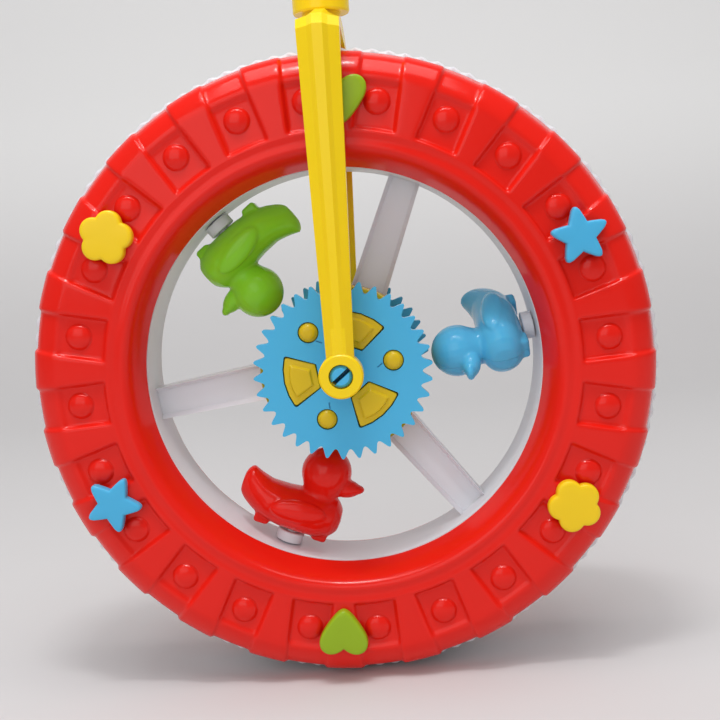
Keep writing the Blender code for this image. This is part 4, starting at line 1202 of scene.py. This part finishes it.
class TOY_OT_pole(bpy.types.Operator):
    """Pole tubes, coupling, grip and cap"""
    bl_idname = "toy.pole"
    bl_label = "Pole and grip"

    def execute(self, context):
        sizes = context.scene.toy_fork
        pole, wall = sizes.pole, 1.4 * MM
        for node in ("pole_lower", "pole_upper"):
            low, high = (corner.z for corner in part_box(node))
            tube = turned(f"{node}_tube", [
                (pole - wall, low), (pole - 0.3 * MM, low),
                (pole, low + 0.3 * MM), (pole, high - 0.3 * MM),
                (pole - 0.3 * MM, high), (pole - wall, high)], 64, ring=True)
            settle(tube, "handle", plastic("yellow"), [node])
        self.coupling(sizes)
        self.grip(sizes)
        return {"FINISHED"}

    def coupling(self, sizes):
        low, high = (corner.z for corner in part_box("pole_coupling"))
        bore, outer = sizes.pole + 0.3 * MM, 9.2 * MM
        half = [(bore, 0.0), (outer - 1.0 * MM, 0.0),
            (outer - 0.2 * MM, 0.4 * MM), (outer, 1.0 * MM),
                (outer, 3.0 * MM), (outer - 0.5 * MM, 3.5 * MM),
                (outer - 0.5 * MM, 5.0 * MM), (outer, 5.5 * MM)]
        profile = [(r, low + h) for r, h in half] + [(r, high - h) for r, h in reversed(half)]
        item = turned("pole_coupling_sleeve", profile, 64, ring=True)
        settle(item, "handle", plastic("yellow"), ["pole_coupling"])

    def grip(self, sizes):
        low, high = (corner.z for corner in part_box("grip"))
        bore, outer = sizes.pole + 0.3 * MM, sizes.grip
        profile = [(bore, low), (outer - 2.4 * MM, low),
            (outer - 0.8 * MM, low + 0.9 * MM), (outer, low + 3 * MM)]
        pitch = (high - low - 22 * MM) / 5
        for index in range(5):
            base = low + 12 * MM + index * pitch
            groove = 0.9 * MM
            for shift, share in ((-0.4, 0.0), (0.3, 0.12),
                (1.2, 0.7), (2.0, 1.0), (2.8, 0.7), (3.7, 0.12), (4.4, 0.0)):
                profile.append((outer - groove * share, base + shift * MM))
        profile += [(outer, high - 0.5 * MM), (outer - 0.5 * MM, high), (bore, high)]
        item = turned("grip_sleeve", profile, 72, ring=True)
        red = context_colours().red
        grip_red = moulded("grip_red", red, 0.42, 0.05, 0.2, glow=0.0)
        settle(item, "handle", grip_red, ["grip"])
        low, high = (corner.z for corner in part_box("grip_cap"))
        plug = sizes.pole - 1.7 * MM
        base = low + 8.0 * MM
        tall = high - base
        profile = [(0.0, low), (plug - 0.5 * MM, low), (plug, low + 0.5 * MM), (plug, base),
                   (outer - 0.4 * MM, base), (outer, base + 0.4 * MM)]
        for degrees in (0.0, 15.0, 30.0, 45.0, 60.0, 75.0, 90.0):
            x, z = polar(1.0, degrees)
            profile.append((outer * x if x > 0.01 else 0.0, base + tall * (0.3 + 0.7 * z)))
        cap = turned("grip_cap_dome", profile, 64)
        settle(cap, "handle", plastic("blue"), ["grip_cap"])


def context_colours():
    return bpy.context.scene.toy_colours


# Stage

class TOY_OT_stage(bpy.types.Operator):
    """Seamless pale backdrop, soft lamps and the camera"""
    bl_idname = "toy.stage"
    bl_label = "Stage"

    def execute(self, context):
        scene = context.scene
        self.backdrop(scene)
        self.lamps(scene)
        self.camera(scene)
        scene.view_settings.view_transform = "Standard"
        return {"FINISHED"}

    def backdrop(self, scene):
        """A floor that curves up into a wall behind the toy."""
        reach, bend = 2.4, 0.5
        profile = [(-2.2, 0.0), (0.55, 0.0)]
        for degrees in range(10, 91, 10):
            turn = math.radians(degrees)
            profile.append((0.55 + bend * math.sin(turn), bend * (1.0 - math.cos(turn))))
        profile.append((0.55 + bend, 2.6))
        sweep = draw("backdrop", profile)
        bpy.ops.mesh.select_all(action="SELECT")
        bpy.ops.mesh.extrude_edges_move(TRANSFORM_OT_translate={"value": (0.0, 2 * reach, 0.0)})
        bpy.ops.object.mode_set(mode="OBJECT")
        turn = rotation(90.0, "Z")
        sweep.data.transform(turn @ Matrix.Translation((0.0, -reach, 0.0)))
        pick(sweep)
        bpy.ops.object.shade_smooth()
        material = bpy.data.materials.new("backdrop_paper")
        material.use_nodes = True
        tree = material.node_tree
        shader = tree.nodes["Principled BSDF"]
        shader.inputs["Roughness"].default_value = 0.9
        shader.inputs["Specular IOR Level"].default_value = 0.2
        place = tree.nodes.new("ShaderNodeTexCoord")
        split = tree.nodes.new("ShaderNodeSeparateXYZ")
        rise = tree.nodes.new("ShaderNodeMapRange")
        rise.interpolation_type = "SMOOTHSTEP"
        rise.inputs["From Min"].default_value = 0.0
        rise.inputs["From Max"].default_value = 0.3
        ramp = tree.nodes.new("ShaderNodeValToRGB")
        ramp.color_ramp.elements[0].color = (*scene.toy_colours.floor, 1.0)
        ramp.color_ramp.elements[1].color = (*scene.toy_colours.wall, 1.0)
        tree.links.new(place.outputs["Object"], split.inputs["Vector"])
        tree.links.new(split.outputs["Z"], rise.inputs["Value"])
        tree.links.new(rise.outputs["Result"], ramp.inputs["Fac"])
        tree.links.new(ramp.outputs["Color"], shader.inputs["Base Color"])
        sweep.data.materials.append(material)

    def lamp(self, name, power, size, place, aim):
        begin()
        bpy.ops.object.light_add(type="AREA", location=place)
        lamp = bpy.context.object
        lamp.name = name
        lamp.data.name = name
        lamp.data.shape = "RECTANGLE"
        lamp.data.size, lamp.data.size_y = size
        lamp.data.energy = power
        lamp.rotation_euler = (Vector(aim) - Vector(place)).to_track_quat("-Z", "Y").to_euler()
        return lamp

    def lamps(self, scene):
        sizes = scene.toy_stage
        middle = (0.0, 0.0, AXLE_Z)
        self.lamp("overhead", sizes.key, (1.1, 0.8), (0.0, -0.25, 1.3), middle)
        self.lamp("small_overhead", sizes.spark, (0.16, 0.05), (-0.03, -0.22, 0.8), middle)
        self.lamp("front", sizes.fill, (0.9, 0.9), (-0.35, -1.1, 0.55), middle)
        world = bpy.data.worlds.new("studio")
        scene.world = world
        world.use_nodes = True
        tree = world.node_tree
        shade = tree.nodes["Background"]
        shade.inputs["Color"].default_value = (1.0, 0.99, 0.985, 1.0)
        path = tree.nodes.new("ShaderNodeLightPath")
        strength = tree.nodes.new("ShaderNodeMath")
        strength.operation = "MULTIPLY_ADD"
        strength.inputs[1].default_value = -0.6 * sizes.sky
        strength.inputs[2].default_value = sizes.sky
        tree.links.new(path.outputs["Is Glossy Ray"], strength.inputs[0])
        tree.links.new(strength.outputs[0], shade.inputs["Strength"])

    def camera(self, scene):
        """The lens that the photograph was fitted with, leaning as the toy leans in it."""
        begin()
        bpy.ops.object.camera_add(location=(0.01713, -0.3643, 0.14251))
        camera = bpy.context.object
        camera.name = "photo_camera"
        camera.rotation_euler = [math.radians(v) for v in (83.459, 3.839, 1.483)]
        camera.data.sensor_width = 36.0
        camera.data.lens = scene.toy_stage.focal / MM
        camera.data.clip_start = 0.01
        scene.camera = camera


class TOY_PT_panel(bpy.types.Panel):
    """The toy's pieces and sizes"""
    bl_idname = "TOY_PT_panel"
    bl_label = "Duck wheel"
    bl_space_type = "VIEW_3D"
    bl_region_type = "UI"
    bl_category = "Push toy"

    def draw(self, context):
        for operator in OPERATORS:
            self.layout.operator(operator.bl_idname)
        for name, group in GROUPS.items():
            box = self.layout.box()
            box.label(text=group.__doc__.strip("."))
            for key in group.__annotations__:
                box.prop(getattr(context.scene, name), key)


GROUPS = {
    "toy_colours": ToyColours,
    "toy_wheel": WheelSizes,
    "toy_cover": CoverSizes,
    "toy_badge": BadgeSizes,
    "toy_hub": HubSizes,
    "toy_duck": DuckSizes,
    "toy_fork": ForkSizes,
    "toy_stage": StageSizes,
}
OPERATORS = (
    TOY_OT_core, TOY_OT_covers, TOY_OT_badges, TOY_OT_gears, TOY_OT_hubs, TOY_OT_posts, TOY_OT_ducks,
    TOY_OT_fork, TOY_OT_pole, TOY_OT_stage,
)


def register():
    for group in GROUPS.values():
        bpy.utils.register_class(group)
    for name, group in GROUPS.items():
        setattr(bpy.types.Scene, name, PointerProperty(type=group))
    for operator in OPERATORS:
        bpy.utils.register_class(operator)
    bpy.utils.register_class(TOY_PT_panel)


def unregister():
    bpy.utils.unregister_class(TOY_PT_panel)
    for operator in reversed(OPERATORS):
        bpy.utils.unregister_class(operator)
    for name, group in reversed(GROUPS.items()):
        delattr(bpy.types.Scene, name)
        bpy.utils.unregister_class(group)


def main():
    register()
    bpy.ops.toy.core()
    bpy.ops.toy.covers()
    bpy.ops.toy.badges()
    bpy.ops.toy.gears()
    bpy.ops.toy.hubs()
    bpy.ops.toy.posts()
    bpy.ops.toy.ducks()
    bpy.ops.toy.fork()
    bpy.ops.toy.pole()
    bpy.ops.toy.stage()
    begin()


if __name__ == "__main__":
    main()
